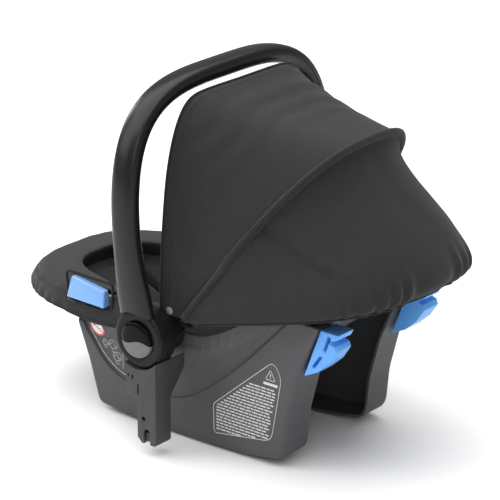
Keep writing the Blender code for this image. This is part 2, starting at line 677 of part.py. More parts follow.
def front_panel_point(turn, share):
    """Cloth stretched straight from the front hem to the mid ridge."""
    return FRONT_HEM.point(turn).lerp(MID_RIDGE.point(turn), share)


def rear_panel_point(turn, share):
    """Cloth that bulges from the mid ridge over the head end down to the gathered hem."""
    hoops = (MID_RIDGE, BULGE_HIGH, BULGE_LOW, REAR_HEM)
    weights = ((1 - share) ** 3, 3 * share * (1 - share) ** 2, 3 * share ** 2 * (1 - share), share ** 3)
    total = Vector((0.0, 0.0, 0.0))
    for weight, hoop in zip(weights, hoops):
        total += weight * hoop.point(turn)
    return total


def panel_turns(surface, share, count):
    """Turns from side to side that stay clear of the pivot fan, denser at the sides."""
    centre = Vector((CANOPY_PIVOT_Y + HUB_Y, CANOPY_PIVOT_Z))
    first = 0.0
    while (surface(first, share).yz - centre).length < CANOPY_FAN_START:
        first += 0.002
    return [first + (math.pi - 2 * first) * i / (count - 1) for i in range(count)]


def build_panel(name, surface, first, last, steps, count=21):
    """Cloth panel of even thickness between two shares of a canopy surface."""
    rows = []
    for k in range(steps + 1):
        share = first + (last - first) * k / steps
        rows.append([surface(turn, share) for turn in panel_turns(surface, share, count)])
    bm = bmesh.new()
    grid = [[bm.verts.new(point) for point in row] for row in rows]
    for low, high in zip(grid, grid[1:]):
        for i in range(count - 1):
            bm.faces.new((low[i], low[i + 1], high[i + 1], high[i]))
    panel = add_object(name, bm, "canopy_fabric")
    centre = panel.data.vertices[len(panel.data.vertices) // 2]
    inward = Vector((0.0, HUB_Y + CANOPY_PIVOT_Y, CANOPY_PIVOT_Z)) - centre.co
    if centre.normal.dot(inward) > 0:
        panel.data.flip_normals()
    solid = panel.modifiers.new("thickness", "SOLIDIFY")
    solid.thickness = FABRIC
    solid.offset = -1.0
    return panel


def bow_rings(half_x, apex, squareness):
    """Rings of a flat strip bent along a hoop about the canopy pivot."""
    hoop = Arch((CANOPY_PIVOT_Y, CANOPY_PIVOT_Z), apex, half_x, squareness)
    plane = (hoop.apex - hoop.centre).normalized()
    sideways = Vector((0.0, -plane.y, plane.x))
    start = 0.004
    count = 32
    rings = []
    for i in range(count + 1):
        turn = start + (math.pi - 2 * start) * i / count
        here = hoop.point(turn)
        along = (hoop.point(turn + 0.002) - hoop.point(turn - 0.002)).normalized()
        across = along.cross(sideways).normalized()
        if i in (0, count):
            across = Vector((math.copysign(1.0, across.x), 0.0, 0.0))
        rings.append([here + across * BOW_THICKNESS / 2 * p + sideways * BOW_WIDTH / 2 * q
                      for p, q in ((-1, -1), (1, -1), (1, 1), (-1, 1))])
    return rings


def build_bow(name, half_x, apex, squareness):
    """Canopy bow: a bent strip with an eye at each end that turns on the bracket's pin."""
    pivot = (0.0, HUB_Y + CANOPY_PIVOT_Y, CANOPY_PIVOT_Z)
    bow = add_object(name, loft(bow_rings(half_x, apex, squareness)), "handle_plastic", pivot)
    for _, side in SIDES:
        low, high = ordered(side, half_x - BOW_THICKNESS / 2, half_x + BOW_THICKNESS / 2)
        cut(bow, cylinder_x(pivot[1], pivot[2], BOW_EYE_RADIUS, low, high, 24), "UNION")
        cut(bow, cylinder_x(pivot[1], pivot[2], BOW_PIN_RADIUS + GAP, low - 0.001, high + 0.001, 20))
    return bow


def build_canopy():
    """Brackets, two bows and the cloth panels over them."""
    pivot_y = HUB_Y + CANOPY_PIVOT_Y
    for name, side in SIDES:
        low, high = ordered(side, SIDE_X, SIDE_X + BRACKET_PLATE)
        disc = cylinder_x(pivot_y, CANOPY_PIVOT_Z, BRACKET_RADIUS, low, high, 24)
        bracket = add_object(f"canopy_bracket_{name}", disc, "hub_plastic")
        cap_x = FRONT_BOW_X + BOW_THICKNESS / 2 + 0.001
        low, high = ordered(side, SIDE_X + 0.001, cap_x + 0.001)
        cut(bracket, cylinder_x(pivot_y, CANOPY_PIVOT_Z, BOW_PIN_RADIUS, low, high, 20), "UNION")
        low, high = ordered(side, cap_x, cap_x + 0.0035)
        cut(bracket, cylinder_x(pivot_y, CANOPY_PIVOT_Z, 0.0085, low, high, 24), "UNION")
    build_bow("canopy_mid_bow", MID_BOW_X, inner_apex(MID_RIDGE, 0.012), MID_RIDGE.squareness)
    build_bow("canopy_front_bow", FRONT_BOW_X, inner_apex(FRONT_HEM, 0.014), FRONT_HEM.squareness)
    build_panel("canopy_front_panel", front_panel_point, 0.0, 0.985, 5)
    build_panel("canopy_rear_panel", rear_panel_point, 0.008, 1.0, 8)


def inner_apex(hoop, depth):
    """Apex of a hoop moved towards the canopy pivot."""
    pivot = Vector((CANOPY_PIVOT_Y, CANOPY_PIVOT_Z))
    reach = hoop.apex - pivot
    return pivot + reach * (reach.length - depth) / reach.length


# ---------------------------------------------------------------- harness

BACK_LOW = 0.16
BACK_HIGH = 0.66


def back_frame():
    """Origin and directions of the padded back: up along it, and out into the seat."""
    low = shell_point(math.pi / 2, BACK_LOW, CUSHION_IN)
    high = shell_point(math.pi / 2, BACK_HIGH, CUSHION_IN)
    up = (high - low).normalized()
    out = up.cross(Vector((-1.0, 0.0, 0.0))).normalized()
    if out.z < 0:
        out = -out
    return low, up, out


def on_back(x, up_by, out_by):
    """World point given across, up along and out from the padded back."""
    low, up, out = back_frame()
    return low + Vector((x, 0.0, 0.0)) + up * up_by + out * out_by


def strap(points, width, thickness):
    """Flat webbing through a row of points, its width along X."""
    rings = []
    for i, here in enumerate(points):
        ahead = (points[min(i + 1, len(points) - 1)] - points[max(i - 1, 0)])
        normal = Vector((0.0, -ahead.z, ahead.y)).normalized()
        wide = Vector((width / 2, 0.0, 0.0))
        thick = normal * thickness / 2
        rings.append([here - wide - thick, here + wide - thick, here + wide + thick, here - wide + thick])
    return loft(rings)


def block_on_back(low, high):
    """Box in the padded back's own directions: across, up, out."""
    rings = []
    for out_by in (low[2], high[2]):
        rings.append([on_back(x, up_by, out_by) for x, up_by in
                      ((low[0], low[1]), (high[0], low[1]), (high[0], high[1]), (low[0], high[1]))])
    return loft(rings)


def build_harness():
    """Five-point harness lying on the padded seat."""
    top = BUCKLE_UP + BUCKLE_HEIGHT
    housing = add_object("buckle_housing", block_on_back((-BUCKLE_WIDTH / 2, BUCKLE_UP, BUCKLE_OUT),
                                                         (BUCKLE_WIDTH / 2, top, BUCKLE_OUT + BUCKLE_DEPTH)),
                         "handle_plastic")
    middle = BUCKLE_OUT + BUCKLE_DEPTH / 2
    for name, side in SIDES:
        low, high = ordered(side, 0.005, 0.020)
        slot = TONGUE_THICKNESS / 2 + RUNNING
        cut(housing, block_on_back((low - RUNNING, top - 0.022, middle - slot),
                                   (high + RUNNING, top + 0.002, middle + slot)))
        plate = block_on_back((low, top - 0.018, middle - TONGUE_THICKNESS / 2),
                              (high, top + 0.016, middle + TONGUE_THICKNESS / 2))
        add_object(f"buckle_tongue_{name}", plate, "steel", tuple(on_back(0.0, top, middle)))
        start = top + 0.016 + TONGUE_TRAVEL + 0.002
        path = [on_back(side * 0.0125, start, middle),
                on_back(side * 0.020, start + 0.016, BUCKLE_OUT + 0.001),
                on_back(side * 0.028, start + 0.030, 0.0032),
                on_back(side * SHOULDER_X, SHOULDER_UP, 0.0032)]
        add_object(f"shoulder_strap_{name}", strap(path, SHOULDER_WIDTH, WEBBING), "webbing")
        pad_low, pad_high = ordered(side, SHOULDER_X - PAD_WIDTH / 2, SHOULDER_X + PAD_WIDTH / 2)
        pad = block_on_back((pad_low, SHOULDER_UP - PAD_LENGTH, 0.0048),
                            (pad_high, SHOULDER_UP - 0.004, 0.0118))
        add_object(f"shoulder_pad_{name}", pad, "cover_fabric")
    build_buckle_button(housing)
    build_crotch()
    build_adjuster()


def build_buckle_button(housing):
    """Red push button in the face of the buckle."""
    face = BUCKLE_OUT + BUCKLE_DEPTH
    low = BUCKLE_UP + 0.010
    half = PRESS_WIDTH / 2
    cut(housing, block_on_back((-half, low, face - 0.0090), (half, low + PRESS_HEIGHT, face + 0.002)))
    half -= RUNNING / 2
    button = block_on_back((-half, low + RUNNING / 2, face - 0.0045),
                           (half, low + PRESS_HEIGHT - RUNNING / 2, face + 0.0015))
    add_object("buckle_button", button, "red_plastic", tuple(on_back(0.0, low + PRESS_HEIGHT / 2, face)))


def build_crotch():
    """Crotch strap with its pad, from the pan up to the buckle."""
    pan_z = PAN_Z + CUSHION_IN
    buckle_foot = on_back(0.0, BUCKLE_UP, BUCKLE_OUT + BUCKLE_DEPTH / 2)
    path = [Vector((0.0, buckle_foot.y - 0.075, pan_z + 0.0016)),
            Vector((0.0, buckle_foot.y - 0.050, pan_z + 0.0060)),
            on_back(0.0, BUCKLE_UP - 0.018, BUCKLE_OUT + BUCKLE_DEPTH / 2),
            on_back(0.0, BUCKLE_UP - 0.001, BUCKLE_OUT + BUCKLE_DEPTH / 2)]
    add_object("crotch_strap", strap(path, WEBBING_WIDTH, WEBBING), "webbing")


def build_adjuster():
    """Harness adjuster set into the front of the pad, with its lever and pull strap."""
    pan_z = PAN_Z + CUSHION_IN
    front = HUB_Y + PAN_FRONT_Y
    housing = add_object("adjuster_housing", box((-0.019, front + 0.024, pan_z + GAP),
                                                 (0.019, front + 0.052, pan_z + 0.010)), "handle_plastic")
    cut(housing, box((-0.0125, front + 0.030, pan_z + 0.0045), (0.0125, front + 0.048, pan_z + 0.012)))
    lever = box((-0.0120, front + 0.0305, pan_z + 0.0090), (0.0120, front + 0.0475, pan_z + 0.0118))
    add_object("adjuster_button", lever, "hub_plastic", (0.0, front + 0.039, pan_z + 0.0118))


# ---------------------------------------------------------------- stroller adapters

def build_adapters():
    """Clip-on stroller adapters under the hubs, each with a spring latch in its tongue."""
    for name, side in SIDES:
        front = HUB_Y + ADAPTER_FRONT_Y
        rear = HUB_Y + ADAPTER_REAR_Y
        low, high = ordered(side, ADAPTER_INNER_X, ADAPTER_OUTER_X)
        place = (side * ADAPTER_OUTER_X, rear, ADAPTER_STEP_Z)
        outline = [(front, ADAPTER_STEP_Z + 0.004), (front + 0.004, ADAPTER_STEP_Z), (rear, ADAPTER_STEP_Z),
                   (rear, ADAPTER_TOP_Z), (front - 0.006, ADAPTER_TOP_Z)]
        block = prism_x(outline, low, high)
        adapter = add_object(f"adapter_{name}", block, "adapter_plastic", place)
        tongue_low, tongue_high = ordered(side, ADAPTER_TONGUE_INNER_X, ADAPTER_OUTER_X)
        tongue_front = HUB_Y + ADAPTER_TONGUE_FRONT_Y
        tongue = [(tongue_front, ADAPTER_TONGUE_Z + 0.008), (tongue_front + 0.008, ADAPTER_TONGUE_Z),
                  (rear - 0.003, ADAPTER_TONGUE_Z), (rear, ADAPTER_TONGUE_Z + 0.004),
                  (rear, ADAPTER_STEP_Z + 0.002), (tongue_front, ADAPTER_STEP_Z + 0.002)]
        cut(adapter, prism_x(tongue, tongue_low, tongue_high), "UNION")
        cut(adapter, adapter_wedge(side, front - 0.02, rear + 0.01))
        cradle_low, cradle_high = ordered(side, ADAPTER_INNER_X - 0.01, ADAPTER_OUTER_X + 0.01)
        cut(adapter, cylinder_x(HUB_Y, HUB_Z, HUB_RADIUS + ADAPTER_CRADLE_GAP, cradle_low, cradle_high, 40))
        cut(adapter, slot_tool(side))
        for slot_y, slot_z, wide, tall in ((0.001, 0.007, 0.002, 0.016), (-0.010, 0.029, 0.0025, 0.006)):
            slot_low = (ADAPTER_OUTER_X - 0.002, slot_y, ADAPTER_STEP_Z + slot_z)
            slot_high = (ADAPTER_OUTER_X + 0.002, slot_y + wide, slot_low[2] + tall)
            cut(adapter, box_on_side(side, slot_low, slot_high))
        hole_low, hole_high = ordered(side, ADAPTER_OUTER_X - 0.003, ADAPTER_OUTER_X + 0.002)
        cut(adapter, cylinder_x(HUB_Y + 0.012, ADAPTER_STEP_Z - 0.030, 0.0035, hole_low, hole_high, 16))
        build_latch(name, side)


def adapter_wedge(side, front, rear):
    """Slanted cut that narrows the adapter's body towards its tongue, on the seat's side."""
    outline = [(side * (ADAPTER_INNER_X - 0.01), ADAPTER_STEP_Z - 0.01),
               (side * ADAPTER_TONGUE_INNER_X, ADAPTER_STEP_Z - 0.01),
               (side * ADAPTER_TONGUE_INNER_X, ADAPTER_STEP_Z + 0.001),
               (side * (ADAPTER_INNER_X - 0.001), ADAPTER_STEP_Z + 0.042),
               (side * (ADAPTER_INNER_X - 0.01), ADAPTER_STEP_Z + 0.042)]
    rings = [[(x, y, z) for x, z in outline] for y in (front, rear)]
    return loft(rings)


def box_on_side(side, low, high):
    """Box given by X on one side and Y from the hub."""
    x_low, x_high = ordered(side, low[0], high[0])
    return box((x_low, HUB_Y + low[1], low[2]), (x_high, HUB_Y + high[1], high[2]))


def slot_tool(side):
    """Arched slot through the tongue, open at its foot."""
    middle = HUB_Y + (ADAPTER_TONGUE_FRONT_Y + ADAPTER_REAR_Y) / 2
    half = ADAPTER_SLOT_WIDTH / 2
    outline = [(middle - half, ADAPTER_TONGUE_Z - 0.005), (middle + half, ADAPTER_TONGUE_Z - 0.005)]
    steps = 6
    for k in range(steps + 1):
        angle = math.pi * k / steps
        outline.append((middle + half * math.cos(angle), ADAPTER_SLOT_TOP_Z - half + half * math.sin(angle)))
    low, high = ordered(side, ADAPTER_TONGUE_INNER_X - 0.002, ADAPTER_OUTER_X + 0.002)
    return prism_x(outline, low, high)


def build_latch(name, side):
    """Spring latch that stands in the arched slot of the tongue."""
    middle = (ADAPTER_TONGUE_FRONT_Y + ADAPTER_REAR_Y) / 2
    half = ADAPTER_SLOT_WIDTH / 2 - RUNNING
    low = (ADAPTER_OUTER_X - 0.016, middle - half, ADAPTER_TONGUE_Z + 0.003)
    high = (ADAPTER_OUTER_X - 0.004, middle + half, ADAPTER_SLOT_TOP_Z - 0.007)
    place = (side * (ADAPTER_OUTER_X - 0.004), HUB_Y + middle, low[2])
    add_object(f"adapter_latch_{name}", box_on_side(side, low, high), "adapter_plastic", place)


# ---------------------------------------------------------------- assembly

def main():
    clear_scene()
    build_shell()
    build_skids()
    build_belt_paths()
    build_hubs()
    build_handle()
    build_canopy()
    build_harness()
    build_adapters()


main()
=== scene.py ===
"""Infant carrier seat: visual pieces around the packed frame, laid out as a Blender add-on."""

import math

import bpy
import numpy as np
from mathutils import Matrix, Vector, noise


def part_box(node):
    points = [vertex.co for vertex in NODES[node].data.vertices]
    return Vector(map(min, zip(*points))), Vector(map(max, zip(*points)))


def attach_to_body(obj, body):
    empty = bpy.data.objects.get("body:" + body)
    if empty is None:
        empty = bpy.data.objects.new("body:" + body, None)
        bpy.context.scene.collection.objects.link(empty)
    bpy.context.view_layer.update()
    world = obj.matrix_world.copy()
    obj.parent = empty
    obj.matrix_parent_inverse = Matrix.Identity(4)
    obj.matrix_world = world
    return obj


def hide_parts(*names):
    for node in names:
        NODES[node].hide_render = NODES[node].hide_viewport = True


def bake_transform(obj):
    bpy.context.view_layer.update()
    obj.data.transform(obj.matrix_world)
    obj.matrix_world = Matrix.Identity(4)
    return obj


bl_info = {
    "name": "Infant Carrier Seat",
    "version": (1, 0, 0),
    "blender": (4, 5, 0),
    "location": "View3D > Sidebar > Carrier Seat",
    "description": "Builds the shell, canopy, harness and fittings of an infant carrier seat",
    "category": "Object",
}

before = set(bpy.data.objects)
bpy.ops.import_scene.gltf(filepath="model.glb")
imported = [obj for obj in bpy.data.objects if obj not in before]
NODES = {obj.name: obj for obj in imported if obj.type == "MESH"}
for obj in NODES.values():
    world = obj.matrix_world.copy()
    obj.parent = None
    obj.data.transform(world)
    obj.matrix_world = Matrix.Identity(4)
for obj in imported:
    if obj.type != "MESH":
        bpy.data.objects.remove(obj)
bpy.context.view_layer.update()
SIDES = (("left", 1), ("right", -1))

# ---- places read from the packed frame ----
HUB_LOW, HUB_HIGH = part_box("handle_hub_left")
HUB_Y = (HUB_LOW.y + HUB_HIGH.y) / 2
HUB_Z = (HUB_LOW.z + HUB_HIGH.z) / 2
HUB_RADIUS = (HUB_HIGH.z - HUB_LOW.z) / 2
HUB_INNER_X = HUB_LOW.x
HUB_OUTER_X = HUB_HIGH.x
SHELL_LOW, SHELL_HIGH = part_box("seat_shell")
RIM_FOOT_Y = SHELL_LOW.y - HUB_Y
RIM_HEAD_Y = SHELL_HIGH.y - HUB_Y
RIM_HEAD_Z = SHELL_HIGH.z
RIM_FOOT_Z = 0.198
RIM_HALF_WIDTH = SHELL_HIGH.x
SIDE_X = RIM_HALF_WIDTH + 0.001

# ---- seat bucket, distances along Y from the hub ----
RIM_NARROWING = 0.010
RIM_SQUARENESS = 3.2
PAN_FRONT_Y = -0.135
PAN_REAR_Y = 0.030
PAN_Z = 0.048
WALL_SPLAY = 0.0475
PAN_HALF_WIDTH = RIM_HALF_WIDTH - WALL_SPLAY
WALL_KNEE = 0.72
SHELL_WALL = 0.0035
COVER_IN = 0.0197
PIVOT_Y = 0.045
PIVOT_Z = 0.205
PIVOT = Vector((0.0, HUB_Y + PIVOT_Y, PIVOT_Z))
CEILING_SOFTNESS = 0.006


# ---------------------------------------------------------------- shapes

def power(value, exponent):
    """Power that keeps the sign, for superellipses."""
    return math.copysign(abs(value) ** exponent, value)


def ease(value):
    """Smooth step from 0 to 1."""
    value = min(1.0, max(0.0, value))
    return value * value * (3.0 - 2.0 * value)


def shell_point(turn, height, inset=0.0, lift=0.0):
    """Point on the bucket: turn 0 is the left side, a quarter turn the head end.

    height runs from 0 at the pan to 1 at the rim, and inset moves the point inwards.
    """
    across = power(math.cos(turn), 2 / RIM_SQUARENESS)
    along = power(math.sin(turn), 2 / RIM_SQUARENESS)
    rim_half = (RIM_HEAD_Y - RIM_FOOT_Y) / 2 - inset
    rim_y = (RIM_HEAD_Y + RIM_FOOT_Y) / 2 + rim_half * along
    rim_x = (RIM_HALF_WIDTH - RIM_NARROWING * (rim_y / RIM_HEAD_Y) ** 2 - inset) * across
    rise = ease((rim_y - PIVOT_Y) / (RIM_HEAD_Y - PIVOT_Y))
    rim_z = RIM_FOOT_Z + (RIM_HEAD_Z - RIM_FOOT_Z) * rise
    pan_half = (PAN_REAR_Y - PAN_FRONT_Y) / 2 - inset / 2
    pan_y = (PAN_REAR_Y + PAN_FRONT_Y) / 2 + pan_half * along
    pan_x = (PAN_HALF_WIDTH - inset) * across
    pan_z = PAN_Z + inset
    corner = 0.03 * math.exp(-((height - WALL_KNEE) / 0.10) ** 2)
    spread = min(height / WALL_KNEE, 1.0) - corner * min(1.0, height / 0.2)
    return Vector((pan_x + (rim_x - pan_x) * spread, HUB_Y + pan_y + (rim_y - pan_y) * spread,
                   pan_z + (rim_z - pan_z) * height + lift))


def cubic(share):
    """Four weights of a cubic curve."""
    rest = 1 - share
    return rest ** 3, 3 * share * rest ** 2, 3 * share ** 2 * rest, share ** 3


def circle(centre, radius, count, flat=1.0):
    """Points of (y, z) round a circle."""
    turns = np.linspace(0, 2 * math.pi, count + 1)[:-1]
    return [(centre[0] + radius * math.cos(turn), centre[1] + radius * math.sin(turn) * flat)
            for turn in turns]


def bar_outline(y, z, wide, tall):
    """Corners of an upright bar in a plane across X."""
    return [(y - wide / 2, z - tall / 2), (y + wide / 2, z - tall / 2),
            (y + wide / 2, z + tall / 2), (y - wide / 2, z + tall / 2)]


class Arch:
    """Hoop of the canopy, from both sides of the pivot line up to an apex."""

    def __init__(self, centre, apex, half_width, across, upright, ceiling=1.0):
        self.centre = Vector(centre)
        self.apex = Vector(apex)
        self.half_width = half_width
        self.across = across
        self.upright = upright
        self.ceiling = ceiling

    def point(self, turn):
        """Point of the hoop, levelled off softly under its ceiling."""
        x = self.half_width * power(math.cos(turn), 2 / self.across)
        reach = abs(math.sin(turn)) ** (2 / self.upright)
        y, z = self.centre + (self.apex - self.centre) * reach
        over = (z - self.ceiling) / CEILING_SOFTNESS
        if over > -4.0:
            z -= CEILING_SOFTNESS * math.log1p(math.exp(over))
        return Vector((x, HUB_Y + y, z))


CANOPY_HALF = SIDE_X + 0.025
FRONT_HEM = Arch((0.012, 0.200), (0.0218, 0.5439), CANOPY_HALF + 0.003, 5.1, 2.83, 0.534)
MID_RIDGE = Arch((PIVOT_Y, PIVOT_Z), (0.2620, 0.4880), CANOPY_HALF, 2.85, 2.54)
BULGE_HIGH = Arch((PIVOT_Y, PIVOT_Z), (0.2333, 0.4432), CANOPY_HALF + 0.006, 2.15, 2.15)
BULGE_LOW = Arch((PIVOT_Y, PIVOT_Z), (0.4486, 0.3245), CANOPY_HALF + 0.004, 3.66, 3.66)
REAR_HEM = Arch((PIVOT_Y, PIVOT_Z - 0.002), (0.3667, 0.2801), CANOPY_HALF - 0.004, 3.5, 3.5)


def front_cloth(turn, share):
    """Front canopy without folds: share 0 is the hem, 1 the ridge."""
    return FRONT_HEM.point(turn).lerp(MID_RIDGE.point(turn), share)


def rear_cloth(turn, share):
    """Rear canopy without folds: share 0 is the ridge, 1 the hem."""
    total = Vector((0.0, 0.0, 0.0))
    for weight, hoop in zip(cubic(share), (MID_RIDGE, BULGE_HIGH, BULGE_LOW, REAR_HEM)):
        total += weight * hoop.point(turn)
    return total


# ---------------------------------------------------------------- modelling helpers

def only(piece):
    """Select one piece alone and make it active."""
    bpy.ops.object.select_all(action="DESELECT")
    piece.select_set(True)
    bpy.context.view_layer.objects.active = piece


def edit_all(piece):
    """Open a piece in edit mode with everything selected."""
    only(piece)
    bpy.ops.object.mode_set(mode="EDIT")
    bpy.ops.mesh.select_all(action="SELECT")


def done():
    """Leave edit mode."""
    bpy.ops.object.mode_set(mode="OBJECT")


def edit():
    """Open the active piece in edit mode."""
    bpy.ops.object.mode_set(mode="EDIT")


def face_outwards():
    """Turn the faces of the piece in edit mode outwards, and leave edit mode."""
    bpy.ops.mesh.select_all(action="SELECT")
    bpy.ops.mesh.normals_make_consistent(inside=False)
    done()


def apply_modifiers(piece):
    """Make every modifier of a piece real."""
    only(piece)
    for modifier in list(piece.modifiers):
        bpy.ops.object.modifier_apply(modifier=modifier.name)


def soft_edges(piece, degrees=35.0):
    """Smooth shading, with edges above an angle kept sharp."""
    only(piece)
    bpy.ops.object.shade_smooth_by_angle(angle=math.radians(degrees))


def smooth(piece):
    """Smooth shading all over."""
    only(piece)
    bpy.ops.object.shade_smooth()


def paint(piece, material):
    """Give a piece one material."""
    piece.data.materials.clear()
    piece.data.materials.append(material)


def finish_piece(piece, body, material, slot, *nodes):
    """Give a piece its material, its body, its record slot and the nodes that it stands for."""
    paint(piece, MATERIALS[material])
    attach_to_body(piece, body)
    if nodes:
        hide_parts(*nodes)
    return piece


def loft_grid(name, columns, rows, place, wrap=False, caps=False, hollow=False):
    """Grid primitive laid on a surface: place(u, v) gives the point for u and v from 0 to 1.

    wrap joins the two ends of u into a tube, caps closes its ends, and hollow joins the ends
    of v too.
    """
    bpy.ops.object.select_all(action="DESELECT")
    bpy.ops.mesh.primitive_grid_add(x_subdivisions=columns, y_subdivisions=rows, size=1.0)
    piece = bpy.context.object
    piece.name = name
    piece.data.name = name
    for vertex in piece.data.vertices:
        vertex.co = place(vertex.co.x + 0.5, vertex.co.y + 0.5)
    if wrap or hollow:
        edit_all(piece)
        bpy.ops.mesh.remove_doubles(threshold=0.00002)
        if caps:
            bpy.ops.mesh.fill_holes(sides=0)
        face_outwards()
    return piece


def face_from(piece, centre):
    """Turn an open sheet's faces so that they look away from a point."""
    total = 0.0
    for face in piece.data.polygons:
        total += face.normal.dot(face.center - Vector(centre)) * face.area
    if total < 0:
        edit_all(piece)
        bpy.ops.mesh.flip_normals()
        done()


def thicken(piece, thickness, offset=-1.0):
    """Give an open sheet a wall."""
    wall = piece.modifiers.new("thickness", "SOLIDIFY")
    wall.thickness = thickness
    wall.offset = offset
    wall.use_even_offset = False
    apply_modifiers(piece)


def round_edges(piece, width, segments=3, degrees=28.0):
    """Bevel the edges above an angle."""
    bevel = piece.modifiers.new("rounded edges", "BEVEL")
    bevel.width = width
    bevel.segments = segments
    bevel.limit_method = "ANGLE"
    bevel.angle_limit = math.radians(degrees)
    bevel.use_clamp_overlap = True
    apply_modifiers(piece)


def copy_node(name, node, edge=0.001, segments=3, degrees=28.0):
    """Copy of a CAD node with its flat faces merged and its edges rounded."""
    bpy.ops.object.select_all(action="DESELECT")
    piece = bpy.data.objects.new(name, NODES[node].data.copy())
    bpy.context.scene.collection.objects.link(piece)
    piece.data.name = name
    only(piece)
    if piece.data.has_custom_normals:
        bpy.ops.mesh.customdata_custom_splitnormals_clear()
    edit_all(piece)
    bpy.ops.mesh.remove_doubles(threshold=0.00001)
    bpy.ops.mesh.dissolve_limited(angle_limit=math.radians(1.0))
    done()
    if edge:
        round_edges(piece, edge, segments, degrees)
    soft_edges(piece)
    return piece


def turned(name, profile, side, centre, count=96):
    """Ring or disc turned about an axis along X; profile is (distance from the middle, radius)."""
    last = len(profile) - 1

    def place(u, v):
        x, radius = profile[round(v * last)]
        angle = 2 * math.pi * u
        return Vector((side * x, centre[0] + radius * math.cos(angle),
                       centre[1] + radius * math.sin(angle)))

    piece = loft_grid(name, count, last, place, wrap=True, hollow=True)
    edit_all(piece)
    bpy.ops.mesh.fill_holes(sides=0)
    face_outwards()
    soft_edges(piece, 40.0)
    return piece


def tube_along(name, points, radius, sides=10, flat=1.0, closed=False, normals=None):
    """Tube or flattened tube through points; flat squeezes it along the given normals."""
    count = len(points)
    rows = count if closed else count - 1

    def place(u, v):
        i = round(v * rows) % count if closed else round(v * rows)
        here = points[i]
        if closed:
            ahead = points[(i + 1) % count] - points[(i - 1) % count]
        else:
            ahead = points[min(i + 1, count - 1)] - points[max(i - 1, 0)]
        ahead.normalize()
        out = normals[i] if normals else Vector((0.0, 0.0, 1.0))
        out = (out - ahead * out.dot(ahead)).normalized()
        across = ahead.cross(out)
        angle = 2 * math.pi * u
        return here + across * radius * math.cos(angle) + out * radius * flat * math.sin(angle)

    piece = loft_grid(name, sides, rows, place, wrap=True, caps=not closed)
    smooth(piece)
    return piece


def resample(points, pitch):
    """Points at an even pitch along a row of points."""
    result = [points[0].copy()]
    left = pitch
    for a, b in zip(points, points[1:]):
        length = (b - a).length
        done_here = 0.0
        while length - done_here >= left:
            done_here += left
            result.append(a.lerp(b, done_here / length))
            left = pitch
        left -= length - done_here
    return result


def on_surface(piece, point, toward, reach=0.25):
    """Where a ray from point meets a piece, with the surface's outward normal there."""
    hit, place, normal, _ = piece.ray_cast(Vector(point), Vector(toward), distance=reach)
    if not hit:
        raise RuntimeError(f"no surface of {piece.name} below {tuple(point)}")
    if normal.dot(Vector(toward)) > 0:
        normal = -normal
    return place, normal


def stitch_row(name, rows, body, pitch=0.0042, length=0.0028,
               radius=0.00042):
    """Rows of raised stitches as one piece; rows are (points, normals), evenly followed."""
    bpy.ops.object.select_all(action="DESELECT")
    bpy.ops.mesh.primitive_uv_sphere_add(segments=6, ring_count=4, radius=1.0)
    stitch = bpy.context.object
    shape = [vertex.co.copy() for vertex in stitch.data.vertices]
    faces = [tuple(p.vertices) for p in stitch.data.polygons]
    vertices, polygons = [], []
    for points, normals in rows:
        for k, here in enumerate(resample(points, pitch)):
            near = min(range(len(points)), key=lambda i: (points[i] - here).length_squared)
            ahead = (points[min(near + 1, len(points) - 1)] - points[max(near - 1, 0)]).normalized()
            out = normals[near]
            out = (out - ahead * out.dot(ahead)).normalized()
            across = ahead.cross(out)
            base = len(vertices)
            centre = here + out * radius * 0.5
            for co in shape:
                vertices.append(centre + ahead * co.x * length / 2 + across * co.y * radius
                                + out * co.z * radius)
            polygons.extend(tuple(i + base for i in face) for face in faces)
    mesh = bpy.data.meshes.new(name)
    mesh.from_pydata(vertices, [], polygons)
    mesh.update()
    old = stitch.data
    stitch.data = mesh
    bpy.data.meshes.remove(old)
    stitch.name = name
    smooth(stitch)
    paint(stitch, MATERIALS["thread"])
    if body:
        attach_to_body(stitch, body)
    return stitch


# ---------------------------------------------------------------- materials

MATERIALS = {}


class Shade:
    """Short way to lay out shader nodes for one material."""

    def __init__(self, name):
        self.material = bpy.data.materials.new(name)
        self.material.use_nodes = True
        self.tree = self.material.node_tree
        self.bsdf = self.tree.nodes["Principled BSDF"]
        self.coords = self.add("ShaderNodeTexCoord").outputs["Object"]

    def add(self, kind, inputs=None, **settings):
        """New node with its settings and inputs."""
        node = self.tree.nodes.new(kind)
        for key, value in settings.items():
            setattr(node, key, value)
        for key, value in (inputs or {}).items():
            self.feed(node.inputs[key], value)
        return node

    def feed(self, socket, value):
        """Link a socket, or set its value."""
        if isinstance(value, bpy.types.NodeSocket):
            self.tree.links.new(value, socket)
        else:
            socket.default_value = value

    def set(self, **values):
        """Inputs of the surface shader by name, with _ for a space."""
        for key, value in values.items():
            self.feed(self.bsdf.inputs[key.replace("_", " ")], value)

    def noise(self, scale, detail=3.0, roughness=0.55, coords=None):
        node = self.add("ShaderNodeTexNoise", {"Scale": scale, "Detail": detail,
                                               "Roughness": roughness,
                                               "Vector": coords or self.coords})
        return node.outputs["Fac"]

    def math(self, operation, a, b=0.0, c=0.0):
        node = self.add("ShaderNodeMath", {0: a, 1: b, 2: c}, operation=operation)
        return node.outputs[0]

    def ramp(self, value, low, high, out_low=0.0, out_high=1.0):
        """Map one range on another, clamped."""
        node = self.add("ShaderNodeMapRange", {"Value": value, "From Min": low, "From Max": high,
                                               "To Min": out_low, "To Max": out_high})
        return node.outputs["Result"]

    def mix(self, share, a, b):
        """Blend of two colours."""
        node = self.add("ShaderNodeMix", {0: share, 6: a, 7: b}, data_type="RGBA")
        return node.outputs[2]

    def bump(self, height, distance, strength=1.0, normal=None):
        inputs = {"Height": height, "Distance": distance, "Strength": strength}
        if normal is not None:
            inputs["Normal"] = normal
        return self.add("ShaderNodeBump", inputs).outputs["Normal"]


